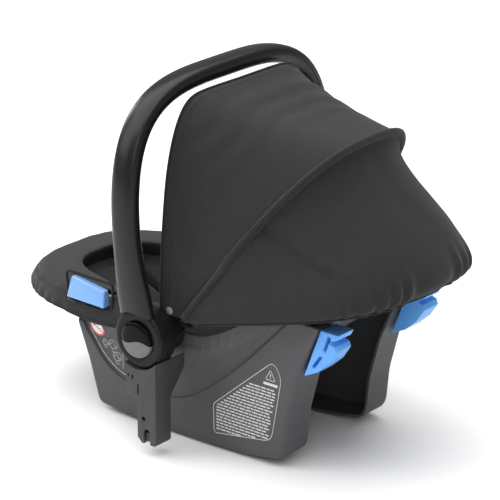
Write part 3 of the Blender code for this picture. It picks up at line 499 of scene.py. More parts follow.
def rgb(red, green, blue):
    """Opaque colour from three linear values."""
    return (red, green, blue, 1.0)


def lighter(colour, by):
    """A colour made lighter or darker by a factor."""
    return (min(1.0, colour[0] * by), min(1.0, colour[1] * by), min(1.0, colour[2] * by), 1.0)


def plastic(name, colour, roughness, grain=0.00006, grain_scale=1400.0, wear=1.5, spread=0.06,
            shine=0.4):
    """Moulded plastic: fine spark grain, slight colour drift and rubbed edges."""
    s = Shade(name)
    drift = s.ramp(s.noise(14.0, 4.0), 0.3, 0.7)
    speck = s.ramp(s.noise(grain_scale * 0.7, 2.0), 0.35, 0.65)
    tone = s.mix(drift, lighter(colour, 1.0 - spread), lighter(colour, 1.0 + spread))
    tone = s.mix(s.math("MULTIPLY", speck, 0.22), tone, lighter(colour, 1.7))
    pointed = s.add("ShaderNodeNewGeometry").outputs["Pointiness"]
    edge = s.math("MULTIPLY", s.ramp(pointed, 0.52, 0.60), s.ramp(s.noise(60.0, 5.0), 0.35, 0.65))
    tone = s.mix(s.math("MULTIPLY", edge, 0.6), tone, lighter(colour, wear))
    rough = s.ramp(s.noise(90.0, 5.0), 0.3, 0.7, roughness - 0.04, roughness + 0.05)
    s.set(Base_Color=tone, Roughness=rough, Specular_IOR_Level=shine)
    s.set(Normal=s.bump(s.noise(grain_scale, 2.0, 0.7), grain))
    MATERIALS[name] = s.material
    return s


def cloth(name, colour, thread_mm=1.0, contrast=1.5, sheen=0.16, rough=0.92, weave_bump=0.00022):
    """Woven polyester: crossing threads, melange flecks, fuzz and a soft drift of shade."""
    s = Shade(name)
    wobble = s.add("ShaderNodeTexNoise", {"Scale": 40.0, "Detail": 2.0, "Vector": s.coords})
    shifted = s.add("ShaderNodeMix", {0: 0.0012, 4: s.coords, 5: wobble.outputs["Color"]},
                    data_type="VECTOR").outputs[1]
    bands = []
    for direction in ("X", "Y", "Z"):
        wave = s.add("ShaderNodeTexWave", {"Scale": 0.314 / (thread_mm * 0.001), "Distortion": 0.6,
                                           "Detail": 1.0, "Vector": shifted},
                     wave_type="BANDS", bands_direction=direction)
        bands.append(wave.outputs["Fac"])
    weave = s.math("MULTIPLY", s.math("ADD", s.math("ADD", bands[0], bands[1]), bands[2]), 1 / 3)
    fleck = s.ramp(s.noise(480.0, 3.0, 0.75), 0.44, 0.62)
    slub = s.ramp(s.noise(150.0, 4.0, 0.6), 0.35, 0.70)
    drift = s.ramp(s.noise(9.0, 3.0), 0.3, 0.7)
    share = s.math("ADD", s.math("MULTIPLY", s.ramp(weave, 0.25, 0.75), 0.45),
                   s.math("MULTIPLY", fleck, 0.35))
    share = s.math("ADD", share, s.math("MULTIPLY", slub, 0.20))
    tone = s.mix(share, lighter(colour, 1.0 / contrast), lighter(colour, contrast))
    tone = s.mix(s.math("MULTIPLY", drift, 0.35), tone, lighter(colour, 1.25))
    s.set(Base_Color=tone, Roughness=s.ramp(slub, 0.0, 1.0, rough - 0.05, min(1.0, rough + 0.04)))
    s.set(Sheen_Weight=sheen, Sheen_Roughness=0.45, Sheen_Tint=rgb(0.55, 0.56, 0.60))
    s.set(Specular_IOR_Level=0.25)
    fine = s.bump(s.math("ADD", weave, s.math("MULTIPLY", fleck, 0.5)), weave_bump, 0.9)
    s.set(Normal=s.bump(s.noise(22.0, 3.0, 0.5), 0.0012, 0.35, fine))
    MATERIALS[name] = s.material
    return s


def make_materials(colours):
    plastic("shell_plastic", rgb(*colours.shell), 0.52, grain=0.00010, grain_scale=1100.0)
    plastic("handle_plastic", rgb(*colours.handle), 0.30, grain=0.00004, shine=0.28)
    plastic("hub_satin", rgb(*colours.hub_ring), 0.36, grain=0.00005, grain_scale=1700.0,
            shine=0.14)
    plastic("drum_black", rgb(0.006, 0.006, 0.0065), 0.45, grain=0.00005, shine=0.25)
    plastic("adapter_plastic", rgb(*colours.adapter), 0.50, grain=0.00008)
    plastic("blue_plastic", rgb(*colours.blue), 0.36, grain=0.00003, wear=1.25, spread=0.03)
    # The belt guides are the same blue plastic as the hooks; this copy has its colour retuned for
    # the strong light on the guides, so light is painted into it.
    plastic("guide_blue_lit_copy", rgb(*colours.guide), 0.36, grain=0.00003, wear=1.25, spread=0.03)
    plastic("red_plastic", rgb(0.52, 0.018, 0.016), 0.35, grain=0.00003, wear=1.2)
    # Deep black: ink of the printed figure on the round marks, and the painted shade on the
    # adapters' slot plates.
    plastic("deep_black", rgb(0.003, 0.003, 0.003), 0.80, grain=0.00005, shine=0.04)
    plastic("snap_metal", rgb(0.16, 0.16, 0.165), 0.34, grain=0.00002, wear=1.4)
    cloth("canopy_fabric", rgb(*colours.canopy), 0.9)
    cloth("cover_fabric", rgb(*colours.cover), 1.1, contrast=1.45)
    cloth("binding", lighter(colours.canopy, 0.55), 1.2, sheen=0.2, weave_bump=0.0003)
    cloth("pad_fabric", lighter(colours.cover, 0.9), 1.3, contrast=1.5)
    cloth("thread", lighter(colours.cover, 1.15), 0.5, sheen=0.1)
    cloth("webbing", rgb(0.016, 0.016, 0.017), 1.6, contrast=1.8, sheen=0.15, rough=0.75,
          weave_bump=0.0005)

    steel = Shade("steel")
    brushed = steel.add("ShaderNodeMapping",
                        {"Vector": steel.coords, "Scale": (300.0, 3000.0, 300.0)})
    lines = steel.noise(1.0, 3.0, coords=brushed.outputs["Vector"])
    steel.set(Base_Color=steel.mix(lines, rgb(0.42, 0.42, 0.43), rgb(0.62, 0.62, 0.63)),
              Metallic=1.0, Roughness=steel.ramp(lines, 0.3, 0.7, 0.22, 0.38),
              Normal=steel.bump(lines, 0.00002))
    MATERIALS["steel"] = steel.material

    foam = Shade("foam")
    beads = foam.add("ShaderNodeTexVoronoi", {"Scale": 260.0, "Vector": foam.coords})
    edge = foam.ramp(beads.outputs["Distance"], 0.0, 0.6)
    foam.set(Base_Color=foam.mix(edge, rgb(0.80, 0.80, 0.79), rgb(0.66, 0.66, 0.65)),
             Roughness=0.85, Normal=foam.bump(edge, 0.0004))
    MATERIALS["foam"] = foam.material

    ink = Shade("label_ink")
    wornness = ink.ramp(ink.noise(500.0, 4.0), 0.45, 0.75)
    ink.set(Base_Color=ink.mix(wornness, rgb(0.62, 0.62, 0.62), rgb(0.42, 0.42, 0.42)),
            Roughness=0.45)
    MATERIALS["label_ink"] = ink.material

    for name, scale, dark, light in (
            ("sticker_white", 40.0, rgb(0.72, 0.72, 0.71), rgb(0.82, 0.82, 0.82)),
            ("sticker_red", 60.0, rgb(0.55, 0.045, 0.045), rgb(0.68, 0.08, 0.075))):
        sticker = Shade(name)
        sticker.set(Base_Color=sticker.mix(sticker.noise(scale), dark, light), Roughness=0.35)
        MATERIALS[name] = sticker.material

    # Release button face: gloss black above a wavy line, and below it a grey part that is a painted
    # reflection of the pale floor in the domed face; the roughness follows the same line.
    button = Shade("gloss_black")
    parts = button.add("ShaderNodeSeparateXYZ", {"Vector": button.coords})
    along, up = parts.outputs["Y"], parts.outputs["Z"]
    swell = button.math("SUBTRACT", along, HUB_Y - 0.004)
    swell = button.math("SINE", button.math("MULTIPLY", swell, 110.0))
    level = button.math("SUBTRACT", button.math("SUBTRACT", up, HUB_Z - 0.003),
                        button.math("MULTIPLY", swell, 0.0032))
    lower = button.ramp(level, 0.0003, -0.0003)
    button.set(Base_Color=button.mix(lower, rgb(0.004, 0.004, 0.0045), rgb(0.150, 0.151, 0.158)),
               Roughness=button.ramp(lower, 0.0, 1.0, 0.07, 0.30), Specular_IOR_Level=0.08,
               Normal=button.bump(button.noise(30.0), 0.00005))
    MATERIALS["gloss_black"] = button.material


# ---------------------------------------------------------------- pieces

def build_bucket(sizes):
    """Outer bucket: smooth walls from the pan up to a rolled rim."""
    floor_part = 0.10

    def place(u, v):
        turn = 2 * math.pi * u
        if v < floor_part:
            edge = shell_point(turn, 0.0)
            middle = Vector((0.0, HUB_Y + (PAN_FRONT_Y + PAN_REAR_Y) / 2, PAN_Z))
            return middle.lerp(edge, v / floor_part)
        height = (v - floor_part) / (1.0 - floor_part)
        point = shell_point(turn, height)
        if height > 0.965:
            flare = (height - 0.965) / 0.035
            point += (shell_point(turn, height, -0.0012) - point) * math.sin(flare * math.pi)
        return point

    piece = loft_grid("bucket_shell", 176, 60, place, wrap=True)
    face_from(piece, (0.0, HUB_Y - 0.01, 0.16))
    thicken(piece, SHELL_WALL)
    soft_edges(piece, 40.0)
    finish_piece(piece, "carrier", "shell_plastic", "shell_plastic", "seat_shell")
    return piece


SKID_OUTER_X = RIM_HALF_WIDTH - 0.0165
SKID_INNER_X = SKID_OUTER_X - 0.057
SKID_TOP_Z = RIM_HEAD_Z - 0.079
SKID_WALL = 0.004
SLIM_RADIUS = 0.003
EDGE_RADIUS = 0.0105
LEDGE = ((0.221, SKID_TOP_Z), (0.144, SKID_TOP_Z - 0.082), (0.094, 0.118), (0.047, 0.082),
         (0.010, 0.062), (-0.040, 0.055), (-0.095, 0.058), (-0.135, 0.074), (-0.165, 0.106),
         (-0.180, 0.139))
FOOT = ((-0.158, 0.0085), (-0.060, 0.0), (0.060, 0.0), (0.132, 0.0035))


def skid_line():
    """Side outline of a skid, smooth along its ledge."""
    corners = [(y, z, 0.012) for y, z in FOOT]
    corners += [(0.204, 0.014, 0.022), (0.211, 0.083, 0.01), (0.229, SKID_TOP_Z - 0.096, 0.01),
                (0.268, SKID_TOP_Z - 0.006, 0.008)]
    corners += [(y, ledge_z(y), 0.002) for y in np.linspace(0.221, -0.178, 50)]
    corners += [(-0.184, 0.139, 0.003), (-0.197, 0.139, 0.003)]
    return [Vector((HUB_Y + y, z)) for y, z in rounded(corners, 4)]


def even_line(points, count):
    """Closed line of points at an even pitch."""
    loop = points + [points[0]]
    lengths = [0.0]
    for a, b in zip(loop, loop[1:]):
        lengths.append(lengths[-1] + (b - a).length)
    result, k = [], 0
    for i in range(count):
        at = lengths[-1] * i / count
        while lengths[k + 1] < at:
            k += 1
        share = (at - lengths[k]) / max(1e-9, lengths[k + 1] - lengths[k])
        result.append(loop[k].lerp(loop[k + 1], share))
    return result


def ledge_z(y):
    """Height of the skids' ledge at a distance along Y from the hub, rounded over its corners."""
    row = sorted(LEDGE)
    total = 0.0
    for k in range(-4, 5):
        at = min(max(y + 0.005 * k, row[0][0]), row[-1][0])
        for (ya, za), (yb, zb) in zip(row, row[1:]):
            if at <= yb:
                total += za + (zb - za) * (at - ya) / (yb - ya)
                break
    return total / 9


def wall_x(y, z):
    """Half width of the bucket at a place (y from the hub)."""
    sign = 1 if y > (RIM_HEAD_Y + RIM_FOOT_Y) / 2 else -1
    best = None
    for k in range(33):
        turn = sign * (math.pi / 2) * k / 32
        rim_y = shell_point(turn, 1.0).y - HUB_Y
        rise = ease((rim_y - PIVOT_Y) / (RIM_HEAD_Y - PIVOT_Y))
        rim_z = RIM_FOOT_Z + (RIM_HEAD_Z - RIM_FOOT_Z) * rise
        here = shell_point(turn, min(1.0, max(0.0, (z - PAN_Z) / (rim_z - PAN_Z))))
        gap = abs(here.y - HUB_Y - y)
        if best is None or gap < best[0]:
            best = (gap, here.x)
    return best[1]


def len_inside(point):
    """How far a point stands inside the bucket's side wall."""
    return wall_x(point.y - HUB_Y, point.z) - abs(point.x)


def build_skids(sizes):
    """Two hollow rocker skids with rounded edges, and the side walls inside their ledges."""
    count = 300
    line = even_line(skid_line(), count)
    area = sum(a.x * b.y - b.x * a.y for a, b in zip(line, line[1:] + line[:1]))
    turn_in = 1.0 if area > 0 else -1.0
    for name, side in SIDES:
        def radius(point):
            y, z = point.x - HUB_Y, point.y
            on_ledge = z > ledge_z(y) - 0.004 and y < 0.222 and z > 0.05
            slim = (y < -0.150 and z > 0.105) or (y > 0.205 and z > 0.19)
            return SLIM_RADIUS if on_ledge or slim else EDGE_RADIUS

        radii = [radius(p) for p in line]
        radii = [sum(radii[(i + k) % count] for k in range(-6, 7)) / 13 for i in range(count)]
        inward = []
        for i in range(count):
            along = (line[(i + 2) % count] - line[i - 2]).normalized()
            inward.append(Vector((-along.y, along.x)) * turn_in)
        steps, straight = 8, 12

        def place(u, v):
            i = round(u * count) % count
            row = round(v * (steps + straight))
            r = radii[i]
            if row < straight:
                x = SKID_INNER_X + (SKID_OUTER_X - r - SKID_INNER_X) * row / straight
                return Vector((side * x, line[i].x, line[i].y))
            angle = math.pi / 2 * (row - straight) / steps
            spot = line[i] + inward[i] * r * (1 - math.cos(angle))
            return Vector((side * (SKID_OUTER_X - r + r * math.sin(angle)), spot.x, spot.y))

        piece = loft_grid(f"rocker_{name}", count, steps + straight, place, wrap=True)
        edit_all(piece)
        bpy.ops.mesh.select_all(action="DESELECT")
        done()
        for vertex in piece.data.vertices:
            vertex.select = abs(vertex.co.x) > SKID_OUTER_X - 0.00001
        edit()
        bpy.ops.mesh.edge_face_add()
        face_outwards()
        face_from(piece, (side * 0.1, HUB_Y, 0.03))
        open_window(piece, lambda c: c.z > PAN_Z + 0.004 and len_inside(c) > 0.005
                    and abs(c.x) < SKID_OUTER_X - 0.001)
        thicken(piece, SKID_WALL)
        soft_edges(piece, 32.0)
        finish_piece(piece, "carrier", "shell_plastic", "shell_plastic", f"skid_{name}")

        def wall(u, v):
            y = -0.1965 + (0.232 + 0.1965) * u
            low = ledge_z(y) - 0.004
            high = 0.186 + 0.052 * ease((y - 0.02) / 0.13)
            z = low + (max(high, low + 0.002) - low) * v
            shelf = SKID_OUTER_X - 0.0052
            x = 0.5 * (shelf + wall_x(y, z) + math.sqrt((shelf - wall_x(y, z)) ** 2 + 0.004 ** 2))
            x = min(x, shelf + 0.020)
            x += 0.0022 * math.exp(-((z - low) / 0.006) ** 2)
            return Vector((side * x, HUB_Y + y, z))

        panel = loft_grid(f"side_wall_{name}", 110, 44, wall)
        face_from(panel, (0.0, HUB_Y, 0.1))
        thicken(panel, 0.0022)
        smooth(panel)
        finish_piece(panel, "carrier", "shell_plastic", "shell_plastic")


def plate(name, outline, x, depth, side):
    """Thin plate in a plane across X, from an outline of (y, z) points."""
    bpy.ops.object.select_all(action="DESELECT")
    bpy.ops.mesh.primitive_circle_add(vertices=len(outline), radius=0.01, fill_type="NGON")
    piece = bpy.context.object
    piece.name = name
    piece.data.name = name
    for vertex, (y, z) in zip(piece.data.vertices, outline):
        vertex.co = (side * x, y, z)
    edit_all(piece)
    bpy.ops.mesh.extrude_region_move(TRANSFORM_OT_translate={"value": (side * depth, 0.0, 0.0)})
    face_outwards()
    return piece


def merge(name, pieces):
    """Join pieces into one."""
    bpy.ops.object.select_all(action="DESELECT")
    for piece in pieces:
        piece.select_set(True)
    bpy.context.view_layer.objects.active = pieces[0]
    bpy.ops.object.join()
    joined = bpy.context.object
    joined.name = name
    joined.data.name = name
    return joined


def rounded(corners, steps=5):
    """Outline with rounded corners from (y, z, radius) corners."""
    result = []
    count = len(corners)
    for i, (y, z, radius) in enumerate(corners):
        here = Vector((y, z))
        before = (Vector(corners[i - 1][:2]) - here).normalized()
        after = (Vector(corners[(i + 1) % count][:2]) - here).normalized()
        start, end = here + before * radius, here + after * radius
        for k in range(steps + 1):
            t = k / steps
            result.append(tuple(start * (1 - t) ** 2 + here * 2 * t * (1 - t) + end * t * t))
    return result


def line_plate(name, points, width, x, depth, side, closed=True):
    """Printed line of even width through (y, z) points."""
    flat = [Vector((side * (x + depth / 2), y, z)) for y, z in points]
    return tube_along(name, flat, width / 2, sides=6, flat=depth / width, closed=closed,
                      normals=[Vector((side, 0.0, 0.0))] * len(flat))


LABEL_LINE = 0.0011
FINE_LINE = 0.0009
PRINT_LIFT = 0.0003
BAR_HEIGHT = 0.0021
BAR_GAP = 0.0016
BAR_ROW_PITCH = 0.0049


def build_care_labels(sizes):
    """Care labels on the skids: border, caution triangle, heading bar and rows of plain bars."""
    for name, side in SIDES:
        low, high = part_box(f"care_label_{name}")
        x = max(abs(low.x), abs(high.x)) - 0.0005
        y0, y1, z0, z1 = low.y, high.y, low.z - 0.001, high.z + 0.013
        top = z1
        border = rounded([(y0 + 0.002, z0 + 0.002, 0.006), (y0 + 0.110, z0 + 0.018, 0.014),
                          (y1 - 0.002, top - 0.020, 0.014), (y1 - 0.018, top, 0.010),
                          (y0 + 0.0005, z0 + 0.048, 0.006)])
        backing = plate(f"label_film_{name}", border, x - 0.0001, 0.00025, side)
        finish_piece(backing, "carrier", "shell_plastic", "label", f"care_label_{name}")
        lines = [line_plate("border", border, LABEL_LINE, x, 0.0005, side)]

        def edge_y(z):
            """First y inside the border's slanted front edge at a height."""
            share = (z - (z0 + 0.048)) / max(1e-6, (top - 0.002 - z0 - 0.048))
            return y0 + 0.0005 + (y1 - 0.016 - y0) * max(0.0, share)

        def rear_y(z):
            """Last y inside the border's slanted rear edge at a height."""
            share = (z - (z0 + 0.020)) / (top - 0.020 - z0 - 0.020)
            if share < 0:
                return y0 + 0.110 - (z0 + 0.020 - z) * 5.0
            return y0 + 0.110 + (y1 - 0.002 - y0 - 0.110) * share

        peak = top - 0.024
        tri_y = (edge_y(peak) + rear_y(peak)) / 2
        triangle = [(tri_y - 0.009, peak - 0.006), (tri_y + 0.009, peak - 0.006),
                    (tri_y, peak + 0.010)]
        triangle = rounded([corner + (0.002,) for corner in triangle], 3)
        lines.append(line_plate("triangle", triangle, LABEL_LINE, x, 0.0005, side))
        bars = [(tri_y, peak + 0.0015, 0.0014, 0.0052), (tri_y, peak - 0.0030, 0.0014, 0.0014)]
        bars.append((tri_y, peak - 0.0125, 0.026, 0.0042))
        rng = np.random.default_rng(7)
        z = peak - 0.021
        while z > z0 + 0.010:
            start, end = edge_y(z) + 0.006, rear_y(z) - 0.006
            y = start
            while y < end - 0.004:
                length = min(float(rng.uniform(0.004, 0.011)), end - y)
                bars.append((y + length / 2, z, length, BAR_HEIGHT))
                y += length + BAR_GAP
            z -= BAR_ROW_PITCH
        pieces = []
        for y, z, wide, tall in bars:
            pieces.append(plate("bar", bar_outline(y, z, wide, tall), x + 0.0001, 0.0003, side))
        print_piece = merge(f"label_print_{name}", lines + pieces)
        finish_piece(print_piece, "carrier", "label_ink", "label")


def decal_points(piece, centre, offsets, lift=0.0002, side=1):
    """Points and normals of a flat pattern of (dy, dz) offsets laid on the bucket's side."""
    points, normals = [], []
    for dy, dz in offsets:
        place, normal = on_surface(piece, (side * 0.30, centre[0] + dy, centre[1] + dz),
                                   (-side, 0.0, 0.0), 0.4)
        points.append(place + normal * lift)
        normals.append(normal)
    return points, normals


def decal_line(name, piece, centre, path, lift, radius, side, flat=0.3, closed=False):
    """Raised printed line along a flat path laid on the bucket's side."""
    points, normals = decal_points(piece, centre, path, lift, side)
    return tube_along(name, points, radius, 6, flat, closed, normals)


def decal_patch(name, piece, centre, radius_y, radius_z, lift, side, thick=0.0003):
    """Round patch laid on the bucket's side."""
    def place(u, v):
        angle = 2 * math.pi * u
        dy, dz = radius_y * v * math.cos(angle), radius_z * v * math.sin(angle)
        spot, normal = on_surface(piece, (side * 0.30, centre[0] + dy, centre[1] + dz),
                                  (-side, 0.0, 0.0), 0.4)
        return spot + normal * lift

    patch = loft_grid(name, 40, 6, place, wrap=True)
    face_from(patch, (0.0, HUB_Y, 0.15))
    thicken(patch, thick, 1.0)
    smooth(patch)
    return patch


ROUND_MARK = (HUB_Y - 0.1555, 0.1365)
PICTOGRAMS = ((-0.143, 0.1125, 0.0055), (-0.127, 0.113, 0.0085), (-0.120, 0.0945, 0.0080),
              (-0.092, 0.118, 0.0085), (-0.088, 0.086, 0.0090), (-0.074, 0.124, 0.006))


def build_side_marks(sizes):
    """Round mark with a slash, plain pictogram strokes and frame lines on both side walls."""
    for name, side in SIDES:
        wall = bpy.data.objects[f"side_wall_{name}"]
        spot = ROUND_MARK
        patch = decal_patch(f"round_mark_{name}", wall, spot, 0.0165, 0.0165, PRINT_LIFT, side)
        finish_piece(patch, "carrier", "sticker_white", "label")
        ring = decal_line("ring", wall, spot, circle((0.0, 0.0), 0.0150, 48), 0.0007, 0.0016, side,
                          0.25, True)
        slash = [(0.0105 * t, -0.0105 * t) for t in np.linspace(-1, 1, 9)]
        bar = decal_line("bar", wall, spot, slash, 0.0007, 0.0010, side)
        mark = merge(f"round_mark_ring_{name}", [ring, bar])
        finish_piece(mark, "carrier", "sticker_red", "label")
        figure = [(-0.008, 0.002), (-0.003, 0.001), (0.001, -0.004), (0.007, -0.002)]
        small = decal_line("figure", wall, spot, figure, 0.0006, 0.0012, side)
        head = decal_line("head", wall, spot, circle((0.004, 0.006), 0.0016, 12), 0.0006, 0.0010,
                          side, closed=True)
        small = merge(f"round_mark_figure_{name}", [small, head])
        finish_piece(small, "carrier", "deep_black", "label")

        strokes = []

        def stroke(path, width=FINE_LINE, closed=False):
            strokes.append(decal_line("stroke", wall, (HUB_Y, 0.0), path, PRINT_LIFT, width / 2,
                                      side, 0.35, closed))

        inner = [(y, ledge_z(y) + 0.0065) for y in np.linspace(-0.172, -0.030, 34)]
        stroke(inner, LABEL_LINE)
        stroke([(inner[0][0] + 0.001 * k, inner[0][1] + 0.0065 * k) for k in range(5)],
               LABEL_LINE)
        stroke([(-0.1085, 0.132 - 0.011 * k) for k in range(6)])
        stroke([(-0.1085 + 0.010 * k, 0.1035) for k in range(5)])
        for y, z, size in PICTOGRAMS:
            stroke(circle((y, z), size, 16, 0.9), closed=True)
            stroke([(y - size * 0.8, z - size * 0.2), (y - size * 0.1, z + size * 0.5),
                    (y + size * 0.3, z - size * 0.3), (y + size * 0.9, z - size * 0.5)], 0.0010)
            stroke([(y - size * 0.5, z - size), (y - size * 0.2, z - size * 1.5),
                    (y + size * 0.7, z - size * 1.4)])
        art = merge(f"side_print_{name}", strokes)
        finish_piece(art, "carrier", "label_ink", "label")


def attach(piece):
    """Make a piece bend between two bodies; bend is (body, body, start, end)."""
    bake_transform(piece)


def finish_bent(piece, material, bend, *nodes):
    """Give a canopy piece its material, its slot, its nodes and the bodies it bends between."""
    paint(piece, MATERIALS[material])
    if nodes:
        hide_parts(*nodes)
    attach(piece)


FRONT_BEND = ("canopy_mid", "canopy_front", PIVOT, PIVOT + Vector((0.0, -0.1786, 0.1330)))
REAR_BEND = ("carrier", "canopy_mid", PIVOT + Vector((0.0, 0.1604, -0.1194)), PIVOT)


def open_window(piece, inside):
    """Delete the faces of a sheet whose centres pass a test."""
    only(piece)
    chosen = [face.index for face in piece.data.polygons if inside(face.center)]
    edit()
    bpy.ops.mesh.select_mode(type="FACE")
    bpy.ops.mesh.select_all(action="DESELECT")
    done()
    for index in chosen:
        piece.data.polygons[index].select = True
    edit()
    bpy.ops.mesh.delete(type="FACE")
    bpy.ops.mesh.select_mode(type="VERT")
    done()


# ---- seat cover ----
HEM_STANDOFF = 0.0034
BAND = 0.0079
ROLL = 0.009
COVER_FLARE = 0.024
COVER_RIPPLE = 0.0018
COVER_GATHER = 0.0011
INSIDE_END = 0.30
ROLL_END = 0.48
ROLL_SPAN = 0.18
BAND_SPAN = 0.49
HEM_TUCK = 0.97


def hem_level(turn):
    y = shell_point(turn, 1.0).y - HUB_Y
    return 0.735 + 0.165 * ease((y + 0.09) / 0.08) + 0.075 * ease((-0.12 - y) / 0.08)


def footness(turn):
    """1 at the foot end, 0 from the hubs back."""
    y = shell_point(turn, 1.0).y - HUB_Y
    return ease((-0.06 - y) / 0.16)


def cover_skin(turn, part):
    """Outer face of the seat cover: part 0 is low inside, 1 the hem outside."""
    foot = footness(turn)
    if part < INSIDE_END:
        level = 0.35 + 0.65 * part / INSIDE_END
        return shell_point(turn, level, COVER_IN + COVER_FLARE * foot * ease((level - 0.62) / 0.38))
    if part < ROLL_END:
        share = (part - INSIDE_END) / ROLL_SPAN
        inner = COVER_IN + COVER_FLARE * foot
        middle, half = (inner - BAND) / 2, (inner + BAND) / 2
        return shell_point(turn, 1.0, middle + half * math.cos(math.pi * share),
                           ROLL * (1.0 - 0.85 * foot) * math.sin(math.pi * share) ** 0.8)
    share = min(1.0, (part - ROLL_END) / BAND_SPAN)
    level = 1.0 + (hem_level(turn) - 1.0) * share
    puff = 0.0030 * foot * math.sin(math.pi * share) ** 0.7 + COVER_FLARE * foot * share ** 0.6
    seam = 0.0016 * foot * math.exp(-((share - 0.30) / 0.035) ** 2)
    inset = -BAND - puff + seam
    if part > HEM_TUCK:
        inset = inset + (BAND - HEM_STANDOFF) * (part - HEM_TUCK) / 0.03
    point = shell_point(turn, level, inset)
    outward = Vector((point.x, point.y - HUB_Y + 0.02, 0.0)).normalized()
    spot = Vector((point.x * 30, point.y * 30, point.z * 9))
    ripple = noise.noise(Vector((turn * 11.0, share * 1.6, 4.0)))
    gather = math.sin(turn * 62.0 + 3.0 * noise.noise(Vector((turn * 3.0, 0.0, 1.0))))
    near_hem = ease((share - 0.35) / 0.5)
    depth = COVER_RIPPLE * ripple + 0.0009 * noise.noise(spot)
    depth += COVER_GATHER * gather * near_hem * (0.25 + 0.75 * foot)
    if 0.86 < share:
        depth *= 0.5
    return point + outward * depth


def build_cover(sizes):
    """Seat cover: rolls over the rim and hangs down to a stitched hem, with bound openings."""
    piece = loft_grid("seat_cover_cloth", 700, 54, lambda u, v: cover_skin(2 * math.pi * u, v),
                      wrap=True)
    face_from(piece, (0.0, HUB_Y, 0.24))
    # the inside faces look inward, so the test above is settled by the outside band
    outer = max(piece.data.polygons, key=lambda face: face.center.x)
    if outer.normal.x < 0:
        edit_all(piece)
        bpy.ops.mesh.flip_normals()
        done()
    guide_low, guide_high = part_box("belt_guide_left")
    y0, y1 = guide_low.y - 0.007, guide_high.y + 0.007
    z0, z1 = guide_low.z - 0.008, guide_high.z + 0.003
    skin_x = RIM_HALF_WIDTH - 0.001

    def in_window(c):
        guide = y0 < c.y < y1 and z0 < c.z < z1 and abs(c.x) > skin_x - 0.012
        hub = (HUB_Y - 0.038 < c.y < HUB_Y + PIVOT_Y + 0.014 and c.z < PIVOT_Z + 0.012
               and abs(c.x) > RIM_HALF_WIDTH)
        return guide or hub

    open_window(piece, in_window)
    thicken(piece, 0.002)
    smooth(piece)
    finish_piece(piece, "carrier", "cover_fabric", "cover_fabric", "seat_cover")

    def row(part, lift, first=0.0, last=2 * math.pi, count=600):
        points, normals = [], []
        for k in range(count + 1):
            turn = first + (last - first) * k / count
            here = cover_skin(turn, part)
            ahead = cover_skin(turn + 0.004, part) - here
            below = cover_skin(turn, min(1.0, part + 0.01)) - cover_skin(turn, part - 0.01)
            out = below.cross(ahead).normalized()
            flat = Vector((here.x, here.y - HUB_Y + 0.02, 0.0))
            if out.dot(flat) < 0:
                out = -out
            points.append(here + out * lift)
            normals.append(out)
        return points, normals

    rows = [row(0.935, 0.0001), row(0.905, 0.0001)]
    seam_turns = [turn for turn in np.linspace(0, 2 * math.pi, 700) if footness(turn) > 0.5]
    rows.append(row(ROLL_END + BAND_SPAN * 0.36, 0.0001, seam_turns[0], seam_turns[-1], 300))
    stitches = stitch_row("cover_stitches", rows, "carrier", pitch=sizes.stitch_pitch,
                          length=sizes.stitch_length)
    points, normals = row(0.985, 0.0006)
    binding = tube_along("cover_hem_binding", points[:-1], 0.0019, 8, 0.9, True, normals[:-1])
    finish_piece(binding, "carrier", "binding", "cover_fabric")
    for name, side in SIDES:
        outline = rounded([(y0, z0, 0.008), (y1, z0, 0.006), (y1 + 0.004, z1, 0.008),
                           (y0 - 0.004, z1, 0.008)])
        spots, outs = [], []
        for y, z in outline:
            shell_x = RIM_HALF_WIDTH + BAND - RIM_NARROWING * ((y - HUB_Y) / RIM_HEAD_Y) ** 2
            lean = max(0.0, (0.1565 - z)) * 0.3
            spots.append(Vector((side * (shell_x + 0.0005 - lean), y, z)))
            outs.append(Vector((side, 0.0, 0.0)))
        edge = tube_along(f"guide_window_edge_{name}", spots, 0.0026, 8, 0.8, True, outs)
        finish_piece(edge, "carrier", "binding", "cover_fabric")


# ---- cushions ----

PUFF_FRAMES = 20


def even_mesh(piece, voxel, rounds):
    """Even mesh over a block, with its edges relaxed."""
    remesh = piece.modifiers.new("even mesh", "REMESH")
    remesh.mode = "VOXEL"
    remesh.voxel_size = voxel
    relax = piece.modifiers.new("relax", "SMOOTH")
    relax.factor = 0.5
    relax.iterations = rounds
    apply_modifiers(piece)


def puff_up(piece, pressure, travel):
    """Blow a cushion up a little with the cloth solver and keep the moved points close by."""
    rest = np.empty(len(piece.data.vertices) * 3)
    piece.data.vertices.foreach_get("co", rest)
    only(piece)
    cloth_solver = piece.modifiers.new("puff", "CLOTH")
    settings = cloth_solver.settings
    settings.use_pressure = True
    settings.uniform_pressure_force = pressure
    settings.quality = 4
    settings.effector_weights.gravity = 0.0
    settings.tension_stiffness = 12.0
    settings.compression_stiffness = 8.0
    settings.bending_stiffness = 0.6
    cloth_solver.point_cache.frame_start = 1
    cloth_solver.point_cache.frame_end = PUFF_FRAMES
    for step in range(1, PUFF_FRAMES + 1):
        bpy.context.scene.frame_set(step)
    bpy.ops.object.modifier_apply(modifier=cloth_solver.name)
    bpy.context.scene.frame_set(1)
    moved = np.empty_like(rest)
    piece.data.vertices.foreach_get("co", moved)
    shift = (moved - rest).reshape(-1, 3)
    size = np.linalg.norm(shift, axis=1, keepdims=True)
    shift *= np.minimum(1.0, travel / np.maximum(size, 1e-9))
    piece.data.vertices.foreach_set("co", (rest.reshape(-1, 3) + shift).ravel())
    piece.data.update()


def build_cushions(sizes):
    """Seat strip and side bolsters, blown up from the fitted blocks."""
    for name in ("seat_cushion", "side_cushion_left", "side_cushion_right"):
        piece = copy_node(f"{name}_padding", name, 0.0)
        even_mesh(piece, 0.0052, 4)
        puff_up(piece, sizes.cushion_pressure, 0.005)
        finer = piece.modifiers.new("finer", "SUBSURF")
        finer.levels = finer.render_levels = 1
        apply_modifiers(piece)
        smooth(piece)
        finish_piece(piece, "carrier", "pad_fabric", "cover_fabric", name)


